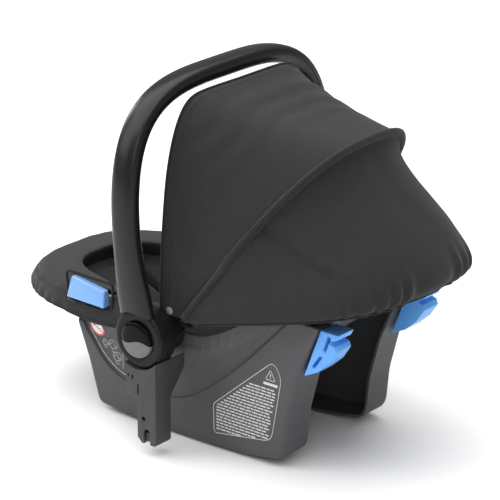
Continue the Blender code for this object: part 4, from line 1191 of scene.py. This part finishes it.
def build_belt_paths(sizes):
    """Blue lap belt guides and rear belt hooks."""
    for name, side in SIDES:
        bpy.ops.object.select_all(action="DESELECT")
        bpy.ops.mesh.primitive_cube_add(size=1.0)
        guide = bpy.context.object
        guide.name = guide.data.name = f"belt_guide_cast_{name}"
        low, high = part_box(f"belt_guide_{name}")
        for vertex in guide.data.vertices:
            rear, up, out = vertex.co.y > 0, vertex.co.z > 0, vertex.co.x > 0
            y = high.y - (0.003 if up else 0.0) if rear else low.y + (0.007 if up else 0.001)
            z = (high.z - (0.010 if rear else 0.0)) if up else low.z - (0.002 if rear else 0.0)
            x = SIDE_X + (0.0175 - (0.006 if up else 0.0)) if out else SIDE_X + 0.0008
            vertex.co = (side * x, y, z)
        edit_all(guide)
        face_outwards()
        round_edges(guide, 0.0026, 5)
        soft_edges(guide)
        # The guides take the lit copy of the blue plastic, with the light on them painted into its
        # colour.
        finish_piece(guide, "carrier", "guide_blue_lit_copy", "blue_plastic",
                     f"belt_guide_{name}")
        hook = copy_node(f"belt_hook_cast_{name}", f"belt_hook_{name}", 0.0014, 3, 30.0)
        finish_piece(hook, "carrier", "blue_plastic", "blue_plastic",
                     f"belt_hook_{name}")


# ---- hubs and handle ----
BUTTON_FACE_X = HUB_OUTER_X + 0.007
BUTTON_RADIUS = 0.028


def build_hubs(sizes):
    """Drums with a satin ring, and the glossy release buttons inside the rings."""
    bore = BUTTON_RADIUS + 0.0004
    for name, side in SIDES:
        inner, outer = HUB_INNER_X, HUB_OUTER_X
        drum = [(inner, 0.008), (inner, HUB_RADIUS - 0.003), (inner + 0.001, HUB_RADIUS - 0.001),
                (inner + 0.003, HUB_RADIUS), (outer - 0.0105, HUB_RADIUS),
                (outer - 0.0100, HUB_RADIUS - 0.0008), (outer - 0.0100, bore),
                (inner + 0.0095, bore), (inner + 0.0095, 0.008), (inner, 0.008)]
        body = turned(f"hub_drum_{name}", drum, side, (HUB_Y, HUB_Z))
        finish_piece(body, "handle", "drum_black", "hub_plastic", f"handle_hub_{name}")
        ring = [(outer - 0.0096, bore), (outer - 0.0096, HUB_RADIUS - 0.0008),
                (outer - 0.0092, HUB_RADIUS), (outer - 0.0060, HUB_RADIUS)]
        for k in range(1, 9):
            angle = math.pi / 2 * k / 8
            ring.append((outer - 0.0060 + 0.0060 * math.sin(angle),
                         HUB_RADIUS - 0.0065 * (1 - math.cos(angle))))
        ring += [(outer + 0.0003, HUB_RADIUS - 0.0095), (outer, HUB_RADIUS - 0.0115),
                 (outer - 0.0008, bore + 0.0006), (outer - 0.0018, bore), (outer - 0.0096, bore)]
        rim = turned(f"hub_ring_{name}", ring, side, (HUB_Y, HUB_Z))
        finish_piece(rim, "handle", "hub_satin", "hub_plastic")
        low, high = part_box(f"release_button_{name}")
        back = min(abs(low.x), abs(high.x))
        face = BUTTON_FACE_X
        disc = [(back, 0.0), (back, BUTTON_RADIUS - 0.001), (back + 0.001, BUTTON_RADIUS),
                (face - 0.0058, BUTTON_RADIUS), (face - 0.0040, BUTTON_RADIUS - 0.0006)]
        for k in range(1, 13):
            angle = math.pi / 2 * k / 12
            disc.append((face - 0.0040 + 0.0040 * math.sin(angle),
                         (BUTTON_RADIUS - 0.0006) * math.cos(angle) ** 0.62 if k < 12 else 0.0))
        button = turned(f"button_cap_{name}", disc, side, (HUB_Y, HUB_Z))
        finish_piece(button, f"release_button_{name}", "gloss_black", "gloss_black",
                     f"release_button_{name}")


HANDLE_FOOT_X = HUB_OUTER_X - 0.011
HANDLE_HEIGHT = 0.364
HANDLE_BELLY = (HANDLE_FOOT_X + 0.078, HANDLE_HEIGHT + 0.009)
HANDLE_SHOULDER = (HANDLE_FOOT_X - 0.059, HANDLE_HEIGHT)
HANDLE_LEAN = math.radians(2.6)
HANDLE_WIDTH = 0.043
HANDLE_DEPTH = 0.029
HANDLE_SQUARENESS = 2.7
HANDLE_FLARE = 0.0070
SEAM_DEPTH = 0.0011


def handle_centre(share):
    """Middle of the grip as (x, height over the hub), from a hub at 0 to the top at 1."""
    points = ((HANDLE_FOOT_X, 0.0), HANDLE_BELLY, HANDLE_SHOULDER, (0.0, HANDLE_HEIGHT))
    weights = cubic(share)
    return Vector((sum(w * p[0] for w, p in zip(weights, points)),
                   sum(w * p[1] for w, p in zip(weights, points))))


def handle_section():
    """Unit section of the grip as (width, depth) factors, with a seam groove at both edges."""
    result = []
    for side in (1, -1):
        for angle, pull in ((-0.012, 0.0), (-0.008, 1.0), (0.008, 1.0), (0.012, 0.0)):
            result.append((side * math.cos(angle),
                           side * power(math.sin(angle), 2 / HANDLE_SQUARENESS), pull))
        for k in range(1, 14):
            angle = math.pi * k / 14
            result.append((side * power(math.cos(angle), 2 / HANDLE_SQUARENESS),
                           side * power(math.sin(angle), 2 / HANDLE_SQUARENESS), 0.0))
    return result


def build_handle(sizes):
    """Carrying handle: one grip with its moulding seam, seated on both drums."""
    section = handle_section()
    count = len(section)
    first = (HUB_RADIUS - 0.006) / (3 * HANDLE_BELLY[1])
    steps = 150

    def place(u, v):
        index = round(u * count) % count
        along = v * 2.0
        side, share = (1, along) if along <= 1.0 else (-1, 2.0 - along)
        share = first + (1.0 - first) * share
        here = handle_centre(share)
        ahead = handle_centre(min(1.0, share + 0.004)) - handle_centre(max(0.0, share - 0.004))
        ahead.normalize()
        outward = Vector((ahead.y, -ahead.x))
        wide, deep, pull = section[index]
        flare = HANDLE_FLARE * (1.0 - ease((share - first) / 0.16)) ** 1.5
        width = (HANDLE_WIDTH / 2 + flare - SEAM_DEPTH * pull) * wide
        spot = here + outward * HANDLE_DEPTH / 2 * deep
        y = HUB_Y + width * math.cos(HANDLE_LEAN) - spot.y * math.sin(HANDLE_LEAN)
        z = HUB_Z + spot.y * math.cos(HANDLE_LEAN) + width * math.sin(HANDLE_LEAN)
        return Vector((side * spot.x, y, z))

    piece = loft_grid("handle_grip", count, steps, place, wrap=True, caps=True)
    for _, side in SIDES:
        bpy.ops.object.select_all(action="DESELECT")
        bpy.ops.mesh.primitive_cylinder_add(vertices=120, radius=HUB_RADIUS + 0.0004, depth=0.12,
                                            location=(side * 0.205, HUB_Y, HUB_Z),
                                            rotation=(0.0, math.pi / 2, 0.0))
        tool = bpy.context.object
        cutter = piece.modifiers.new("drum seat", "BOOLEAN")
        cutter.operation = "DIFFERENCE"
        cutter.solver = "EXACT"
        cutter.object = tool
        apply_modifiers(piece)
        bpy.data.objects.remove(tool)
    soft_edges(piece, 38.0)
    finish_piece(piece, "handle", "handle_plastic", "handle_plastic",
                 "handle_outer_shell", "handle_inner_shell")


# ---- canopy ----
POCKET_RADIUS = 0.0078
FRONT_SAG = 0.0075
FRONT_FOLD_DEPTH = 0.0011
FRONT_CREASE_DEPTH = 0.0020
HEM_BAND_WIDTH = 0.0125
HEM_BAND_LIFT = 0.0007
REAR_GATHER_DEPTH = 0.0036
REAR_DENT_DEPTH = 0.0055
REAR_LIP_HEIGHT = 0.0034
# each fold runs from one (turn, share) to another, and the crease through a row of them
FRONT_FOLDS = (((0.737, 0.085), (0.560, 0.305)), ((0.90, 0.10), (0.68, 0.42)),
               ((0.50, 0.08), (0.36, 0.26)))
REAR_CREASE = ((0.619, 0.034), (0.632, 0.136), (0.698, 0.288), (0.711, 0.373), (0.750, 0.525),
               (0.816, 0.644))


def front_skin(part, share):
    """Front canopy cloth with its hem band, sag between the bows and tension folds."""
    first = 0.012
    turn = first + (math.pi - 2 * first) * part
    point = front_cloth(turn, share)
    span = (MID_RIDGE.point(turn) - FRONT_HEM.point(turn)).length
    from_hem = share * span
    outward = (point - Vector((0.0, PIVOT.y, PIVOT.z - 0.02))).normalized()
    sag = -FRONT_SAG * math.sin(math.pi * share) * ease(math.sin(turn) * 1.6)
    height = ease((point.z - 0.24) / 0.12)
    waver = 6.0 * noise.noise(Vector((turn * 2.2, share * 1.2, 9.0)))
    folds = FRONT_FOLD_DEPTH * math.sin(from_hem * 130.0 + waver)
    folds *= ease(from_hem / 0.02) * (1.0 - ease((share - 0.35) / 0.5)) * height
    soft = 0.0016 * noise.noise(Vector((point.x * 9, point.y * 14, point.z * 9)))
    crease = 0.0
    for (turn_a, share_a), (turn_b, share_b) in FRONT_FOLDS:
        for mirrored in (turn, math.pi - turn):
            along = (mirrored - turn_a) / (turn_b - turn_a)
            if 0.0 < along < 1.0:
                middle = share_a + (share_b - share_a) * along
                ridge = math.exp(-((share - middle) / 0.035) ** 2)
                crease += FRONT_CREASE_DEPTH * ridge * math.sin(math.pi * along)
    band = HEM_BAND_LIFT * (1.0 - ease((from_hem - HEM_BAND_WIDTH) / 0.001))
    return point + outward * (sag + folds + soft + band + crease)


def rear_skin(part, share):
    """Rear canopy cloth, bulging over the head end, gathered along its lower hem."""
    first = 0.010
    turn = first + (math.pi - 2 * first) * part
    point = rear_cloth(turn, share)
    outward = (point - Vector((0.0, PIVOT.y + 0.06, PIVOT.z))).normalized()
    behind = ease((math.sin(turn) - 0.55) / 0.35)
    near_hem = ease((share - 0.62) / 0.33)
    waver = 4.0 * noise.noise(Vector((turn * 4, 0, 2)))
    gathers = REAR_GATHER_DEPTH * near_hem * behind * math.sin(turn * 46.0 + waver)
    soft = 0.0026 * noise.noise(Vector((point.x * 8, point.y * 8, point.z * 8)))
    soft += 0.0010 * noise.noise(Vector((point.x * 26, point.y * 26, point.z * 26)))
    crease = 0.0
    for mirrored in (turn, math.pi - turn):
        for (ta, sa), (tb, sb) in zip(REAR_CREASE, REAR_CREASE[1:]):
            if sa <= share < sb:
                middle = ta + (tb - ta) * (share - sa) / (sb - sa)
                fade = ease(share / 0.08) * ease((0.70 - share) / 0.15)
                away = (mirrored - middle) / 0.045
                dent, lip = math.exp(-away ** 2), math.exp(-(away - 1.6) ** 2)
                crease += fade * (REAR_LIP_HEIGHT * lip - REAR_DENT_DEPTH * dent)
    return point + outward * (soft + gathers + crease * (1.0 if share > 0.03 else 0.0))


def raise_point(here, across, lift, points, normals):
    """Add a point lifted off the canopy, and the outward normal there, to their rows."""
    out = across.normalized()
    if out.dot(here - (PIVOT + Vector((0.0, 0.03, 0.0)))) < 0:
        out = -out
    points.append(here + out * lift)
    normals.append(out)


def skin_row(surface, share, lift, count=260, first=0.0, last=1.0):
    """Points and outward normals along a canopy surface from side to side."""
    points, normals = [], []
    for k in range(count + 1):
        part = first + (last - first) * k / count
        here = surface(part, share)
        ahead = surface(min(1.0, part + 0.002), share) - surface(max(0.0, part - 0.002), share)
        over = surface(part, min(1.0, share + 0.01)) - surface(part, max(0.0, share - 0.01))
        raise_point(here, ahead.cross(over), lift, points, normals)
    return points, normals


def along_hem(surface, from_hem, lift, backwards=False, count=260):
    """Row of points at an even distance from the front hem."""
    points, normals = [], []
    for k in range(count + 1):
        part = 0.012 + 0.976 * k / count
        turn = math.pi * part
        span = max(0.02, (MID_RIDGE.point(turn) - FRONT_HEM.point(turn)).length)
        share = from_hem / span
        if backwards:
            share = 1.0 - share
        here = surface(part, share)
        ahead = surface(part + 0.002, share) - surface(part - 0.002, share)
        over = surface(part, share + 0.01) - surface(part, share - 0.01)
        raise_point(here, ahead.cross(over), lift, points, normals)
    return points, normals


def bent_stitches(name, rows, sizes):
    """Rows of stitches on a cloth that bends between two bodies."""
    piece = stitch_row(name, rows, None, pitch=sizes.stitch_pitch, length=sizes.stitch_length)
    attach(piece)
    return piece


FRONT_STITCH_ROWS = (0.0030, 0.0112)
SNAP_PLACE = (HUB_Y + 0.028, 0.221)
SNAP_PROFILE = ((0.0, 0.0), (0.0, 0.0060), (0.0012, 0.0060), (0.0022, 0.0054), (0.0030, 0.0040),
                (0.0034, 0.0022), (0.0035, 0.0))


def build_canopy_front(sizes):
    """Front canopy cloth with a double-stitched hem, a piped edge and snaps."""
    piece = loft_grid("canopy_front_cloth", 280, 60, front_skin)
    face_from(piece, PIVOT)
    thicken(piece, sizes.fabric_thickness)
    smooth(piece)
    finish_bent(piece, "canopy_fabric", FRONT_BEND, "canopy_front_panel")
    rows = [along_hem(front_skin, from_hem, 0.0002) for from_hem in FRONT_STITCH_ROWS]
    stitches = bent_stitches("canopy_front_stitches", rows, sizes)
    points, normals = skin_row(front_skin, 0.0, 0.0)
    piping = tube_along("canopy_front_piping", points, 0.0021, 8, 0.9, False, normals)
    finish_bent(piping, "binding", FRONT_BEND)
    for name, side in SIDES:
        spot, _ = on_surface(piece, (side * 0.3, *SNAP_PLACE), (-side, 0.0, 0.0))
        x = abs(spot.x) - 0.0003
        profile = [(x + out, radius) for out, radius in SNAP_PROFILE]
        snap = turned(f"canopy_snap_{name}", profile, side, (spot.y, spot.z), 32)
        finish_piece(snap, "canopy_mid", "snap_metal", "steel")
    build_front_bow()


def build_front_bow():
    """Front bow: a flat strip just inside the front hem, with an eye on each pivot pin."""
    points, outs = [], []
    for k in range(121):
        turn = 0.10 + (math.pi - 0.20) * k / 120
        hem = front_cloth(turn, 0.02)
        centre = Vector((0.0, hem.y, 0.30))
        out = (hem - centre).normalized()
        points.append(hem - out * 0.0065)
        outs.append(out)
    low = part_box("canopy_bracket_left")[1].x - 0.004
    for end, side in ((0, 1), (-1, -1)):
        eye = Vector((side * low, PIVOT.y, PIVOT.z))
        near = points[end]
        extra = [eye.lerp(near, t) for t in (0.0, 0.33, 0.66)]
        if end == 0:
            points = extra + points
            outs = [Vector((side, 0.0, 0.0))] * 3 + outs
        else:
            points = points + extra[::-1]
            outs = outs + [Vector((side, 0.0, 0.0))] * 3
    strip = tube_along("front_bow_strip", points, 0.0055, 10, 0.32, False, outs)
    finish_piece(strip, "canopy_front", "handle_plastic", "handle_plastic",
                 "canopy_front_bow")


def build_canopy_rear(sizes):
    """Rear canopy cloth, the stitched bow pocket along the ridge and the piped lower hem."""
    piece = loft_grid("canopy_rear_cloth", 300, 84, rear_skin)
    face_from(piece, PIVOT + Vector((0.0, 0.1, 0.0)))
    thicken(piece, sizes.fabric_thickness)
    smooth(piece)
    finish_bent(piece, "canopy_fabric", REAR_BEND, "canopy_rear_panel")
    points, normals = skin_row(rear_skin, 0.0, -0.0012, first=0.004, last=0.996)
    pocket = tube_along("canopy_bow_pocket", points, POCKET_RADIUS, 14, 0.66, False, normals)
    finish_piece(pocket, "canopy_mid", "canopy_fabric", "canopy_fabric")
    rows = [skin_row(rear_skin, 0.016, 0.0003, first=0.02, last=0.98),
            along_hem(front_skin, 0.0080, 0.0003, True)]
    ridge = stitch_row("canopy_ridge_stitches", rows, "canopy_mid",
                       sizes.stitch_pitch, sizes.stitch_length)
    hem_points, hem_normals = skin_row(rear_skin, 1.0, 0.0)
    piping = tube_along("canopy_rear_piping", hem_points, 0.0024, 8, 0.9, False, hem_normals)
    finish_bent(piping, "binding", REAR_BEND)
    rows = [skin_row(rear_skin, 0.965, 0.0003, first=0.03, last=0.97)]
    low = bent_stitches("canopy_rear_stitches", rows, sizes)


# ---- harness ----

def build_harness(sizes):
    """Webbing, stuffed shoulder pads, buckle, tongues and adjuster."""
    for name, _ in SIDES:
        strap = copy_node(f"shoulder_webbing_{name}", f"shoulder_strap_{name}", 0.0004, 2)
        finish_piece(strap, "carrier", "webbing", "webbing", f"shoulder_strap_{name}")
        pad = copy_node(f"shoulder_padding_{name}", f"shoulder_pad_{name}", 0.0)
        even_mesh(pad, 0.0016, 6)
        puff_up(pad, 2.0, 0.002)
        smooth(pad)
        finish_piece(pad, "carrier", "pad_fabric", "cover_fabric",
                     f"shoulder_pad_{name}")
        tongue = copy_node(f"tongue_plate_{name}", f"buckle_tongue_{name}", 0.0005, 2)
        finish_piece(tongue, f"buckle_tongue_{name}", "steel", "steel",
                     f"buckle_tongue_{name}")
    crotch = copy_node("crotch_webbing", "crotch_strap", 0.0004, 2)
    finish_piece(crotch, "carrier", "webbing", "webbing", "crotch_strap")
    for node, body, material, slot, edge in (
            ("buckle_housing", "carrier", "handle_plastic", "handle_plastic", 0.0022),
            ("buckle_button", "buckle_button", "red_plastic", "red_plastic", 0.0008),
            ("adjuster_housing", "carrier", "handle_plastic", "handle_plastic", 0.0012),
            ("adjuster_button", "adjuster_button", "hub_satin", "hub_plastic", 0.0006)):
        piece = copy_node(f"{node}_cast", node, edge, 3)
        finish_piece(piece, body, material, slot, node)


SIDE_SLOTS = ((0.002, 0.015, 0.0022, 0.0155), (-0.0087, 0.032, 0.0027, 0.0062),
              (-0.0165, 0.033, 0.0020, 0.0055))


def build_adapters(sizes):
    """Stroller adapters under the hubs with their latches."""
    for name, side in SIDES:
        low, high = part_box(f"adapter_{name}")
        face = max(abs(low.x), abs(high.x))
        step = HUB_Z - 0.092
        # The slots and the round hole are not cut: deep black plates on the adapter's faces are
        # painted shade standing in for the openings.
        slot_shade_plates = [plate("slot", bar_outline(HUB_Y + y, step + z, wide, tall), face - 0.0004,
                       0.0005, side) for y, z, wide, tall in SIDE_SLOTS]
        painted_hole_shade = circle((HUB_Y + 0.012, step - 0.030), 0.0034, 24)
        slot_shade_plates.append(plate("painted_hole_shade", painted_hole_shade, face - 0.0026, 0.0002, side))
        dark = merge(f"adapter_slot_shade_plates_{name}", slot_shade_plates)
        finish_piece(dark, f"adapter_{name}", "deep_black", "adapter_plastic")
        piece = copy_node(f"adapter_cast_{name}", f"adapter_{name}", 0.0009, 3)
        finish_piece(piece, f"adapter_{name}", "adapter_plastic", "adapter_plastic",
                     f"adapter_{name}")
        latch = copy_node(f"latch_cast_{name}", f"adapter_latch_{name}", 0.0006, 2)
        finish_piece(latch, f"adapter_latch_{name}", "adapter_plastic", "adapter_plastic",
                     f"adapter_latch_{name}")


INNER_FINISH = {"foam_liner": "foam", "hub_plate": "drum_black", "pivot_pin": "steel",
                "canopy_bracket": "drum_black", "canopy_mid_bow": "handle_plastic",
                "canopy_front_bow": "handle_plastic", "button_spring": "steel",
                "lock_gear": "adapter_plastic"}


def finish_inner_nodes(sizes):
    """Materials for the CAD nodes that stay as they are."""
    for name, node in NODES.items():
        for stem, material in INNER_FINISH.items():
            if name.startswith(stem):
                for slot in node.material_slots:
                    slot.material = MATERIALS[material]


# ---- stage ----

TARGET = Vector((0.0, -0.0008, 0.268))
EYE = Vector((2.9945, 2.4415, 1.6974))
LENS_MM = 198.7
SENSOR_MM = 36.0
STRIP_POWER = 26.0
FILL_POWER = 34.0


def build_stage(sizes):
    """Pale floor, soft studio light and the camera."""
    bpy.ops.object.select_all(action="DESELECT")
    bpy.ops.mesh.primitive_plane_add(size=30.0, location=(0.0, 0.0, -0.0006))
    floor = bpy.context.object
    floor.name = "studio_floor"
    s = Shade("studio_floor")
    s.set(Base_Color=s.mix(s.noise(1.5), rgb(0.86, 0.86, 0.86), rgb(0.88, 0.88, 0.88)),
          Roughness=0.9, Specular_IOR_Level=0.1)
    paint(floor, s.material)
    scene = bpy.context.scene
    world = bpy.data.worlds.new("studio")
    world.use_nodes = True
    back = world.node_tree.nodes["Background"]
    back.inputs["Color"].default_value = rgb(1.0, 1.0, 1.0)
    back.inputs["Strength"].default_value = sizes.ambient
    scene.world = world
    lights = (("top", (0.3, -0.3, 4.6), 7.5, sizes.top_light),
              ("key", (2.4, -2.4, 2.3), 2.2, sizes.key_light),
              ("strip", (-0.4, -3.2, 1.5), 1.0, STRIP_POWER),
              ("fill", (3.0, 3.0, 2.4), 2.2, FILL_POWER))
    for name, place, size, power_w in lights:
        bpy.ops.object.light_add(type="AREA", location=place)
        light = bpy.context.object
        light.name = f"{name}_light"
        light.data.energy = power_w
        light.data.size = size
        light.rotation_euler = (TARGET - Vector(place)).to_track_quat("-Z", "Y").to_euler()
    bpy.ops.object.camera_add(location=EYE)
    camera = bpy.context.object
    camera.name = "studio_camera"
    camera.rotation_euler = (TARGET - EYE).to_track_quat("-Z", "Y").to_euler()
    camera.data.lens = LENS_MM
    camera.data.sensor_width = SENSOR_MM
    camera.data.clip_end = 100.0
    scene.camera = camera
    scene.view_settings.view_transform = "Standard"


# ---------------------------------------------------------------- add-on

def colour_property(name, description, default):
    """Colour setting with its default."""
    return bpy.props.FloatVectorProperty(name=name, description=description, default=default,
                                         subtype="COLOR", size=3, min=0.0, max=1.0)


class CarrierSizes(bpy.types.PropertyGroup):
    """Sizes and light that a user would change."""

    fabric_thickness: bpy.props.FloatProperty(
        name="Fabric thickness", description="Thickness of the canopy cloth",
        default=0.0016, min=0.0008, max=0.003, unit="LENGTH", precision=4)
    stitch_pitch: bpy.props.FloatProperty(
        name="Stitch pitch", description="Distance from one stitch to the next",
        default=0.0042, min=0.002, max=0.01, unit="LENGTH", precision=4)
    stitch_length: bpy.props.FloatProperty(
        name="Stitch length", description="Length of one stitch",
        default=0.0030, min=0.001, max=0.008, unit="LENGTH", precision=4)
    cushion_pressure: bpy.props.FloatProperty(
        name="Cushion pressure", description="How hard the cushions are blown up",
        default=4.0, min=0.0, max=10.0, subtype="FACTOR")
    ambient: bpy.props.FloatProperty(
        name="Ambient light", description="Strength of the white surroundings",
        default=0.30, min=0.0, max=3.0, subtype="FACTOR")
    top_light: bpy.props.FloatProperty(
        name="Top light", description="Power of the wide soft light overhead",
        default=500.0, min=0.0, max=1000.0, unit="POWER")
    key_light: bpy.props.FloatProperty(
        name="Key light", description="Power of the soft light on the near side",
        default=40.0, min=0.0, max=1000.0, unit="POWER")


class CarrierColours(bpy.types.PropertyGroup):
    """Colours that a user would change."""

    shell: colour_property("Shell", "Colour of the bucket and skids", (0.056, 0.057, 0.060))
    handle: colour_property("Handle", "Colour of the carrying handle", (0.007, 0.007, 0.0075))
    hub_ring: colour_property("Hub ring", "Colour of the satin rings", (0.009, 0.009, 0.0095))
    adapter: colour_property("Adapter", "Colour of the stroller adapters", (0.036, 0.036, 0.038))
    blue: colour_property("Belt hooks", "Colour of the rear belt hooks", (0.105, 0.34, 0.82))
    # Blue of the belt guides: the hooks' blue plastic retuned for the stronger light on the guides,
    # light painted into the colour.
    guide: colour_property("Belt guides", "Colour of the two belt guides", (0.165, 0.34, 0.72))
    canopy: colour_property("Canopy", "Colour of the canopy cloth", (0.0180, 0.0180, 0.0188))
    cover: colour_property("Cover", "Colour of the seat cover", (0.0230, 0.0230, 0.0240))


class CARRIER_OT_base:
    """Shared behaviour: build one group of pieces, and raise an error if that fails."""

    bl_options = {"REGISTER", "UNDO"}
    build = None

    def execute(self, context):
        type(self).build(context.scene.carrier_sizes)
        return {"FINISHED"}


STEPS = (("bucket", "Bucket", build_bucket),
         ("skids", "Skids", build_skids),
         ("care_labels", "Care labels", build_care_labels),
         ("side_marks", "Side marks", build_side_marks),
         ("cover", "Seat cover", build_cover),
         ("cushions", "Cushions", build_cushions),
         ("belt_paths", "Belt guides and hooks", build_belt_paths),
         ("hubs", "Hubs and buttons", build_hubs),
         ("handle", "Handle", build_handle),
         ("canopy_front", "Canopy front", build_canopy_front),
         ("canopy_rear", "Canopy rear", build_canopy_rear),
         ("harness", "Harness", build_harness),
         ("adapters", "Adapters", build_adapters),
         ("inner_nodes", "Inner parts", finish_inner_nodes),
         ("stage", "Studio stage", build_stage))


def operator_class(key, label, build):
    """One operator that builds one group of pieces."""
    return type(f"CARRIER_OT_{key}", (CARRIER_OT_base, bpy.types.Operator),
                {"bl_idname": f"carrier.{key}", "bl_label": label,
                 "__doc__": build.__doc__ or label, "build": staticmethod(build)})


OPERATORS = [operator_class(*step) for step in STEPS]


class CARRIER_PT_panel(bpy.types.Panel):
    """Sidebar panel with the sizes, the colours and one button for each group."""

    bl_label = "Carrier Seat"
    bl_space_type = "VIEW_3D"
    bl_region_type = "UI"
    bl_category = "Carrier Seat"

    def draw(self, context):
        for group in (context.scene.carrier_sizes, context.scene.carrier_colours):
            box = self.layout.box()
            for key in group.__annotations__:
                box.prop(group, key)
        for operator in OPERATORS:
            self.layout.operator(operator.bl_idname)


CLASSES = [CarrierSizes, CarrierColours, *OPERATORS, CARRIER_PT_panel]


def register():
    """Add the classes and their properties."""
    for cls in CLASSES:
        bpy.utils.register_class(cls)
    bpy.types.Scene.carrier_sizes = bpy.props.PointerProperty(type=CarrierSizes)
    bpy.types.Scene.carrier_colours = bpy.props.PointerProperty(type=CarrierColours)


def unregister():
    """Take the classes and properties away."""
    del bpy.types.Scene.carrier_colours
    del bpy.types.Scene.carrier_sizes
    for cls in reversed(CLASSES):
        bpy.utils.unregister_class(cls)


def main():
    """Build everything in order and write the sizes."""
    register()
    make_materials(bpy.context.scene.carrier_colours)
    for key, _, _ in STEPS:
        getattr(bpy.ops.carrier, key)()


if __name__ == "__main__":
    main()
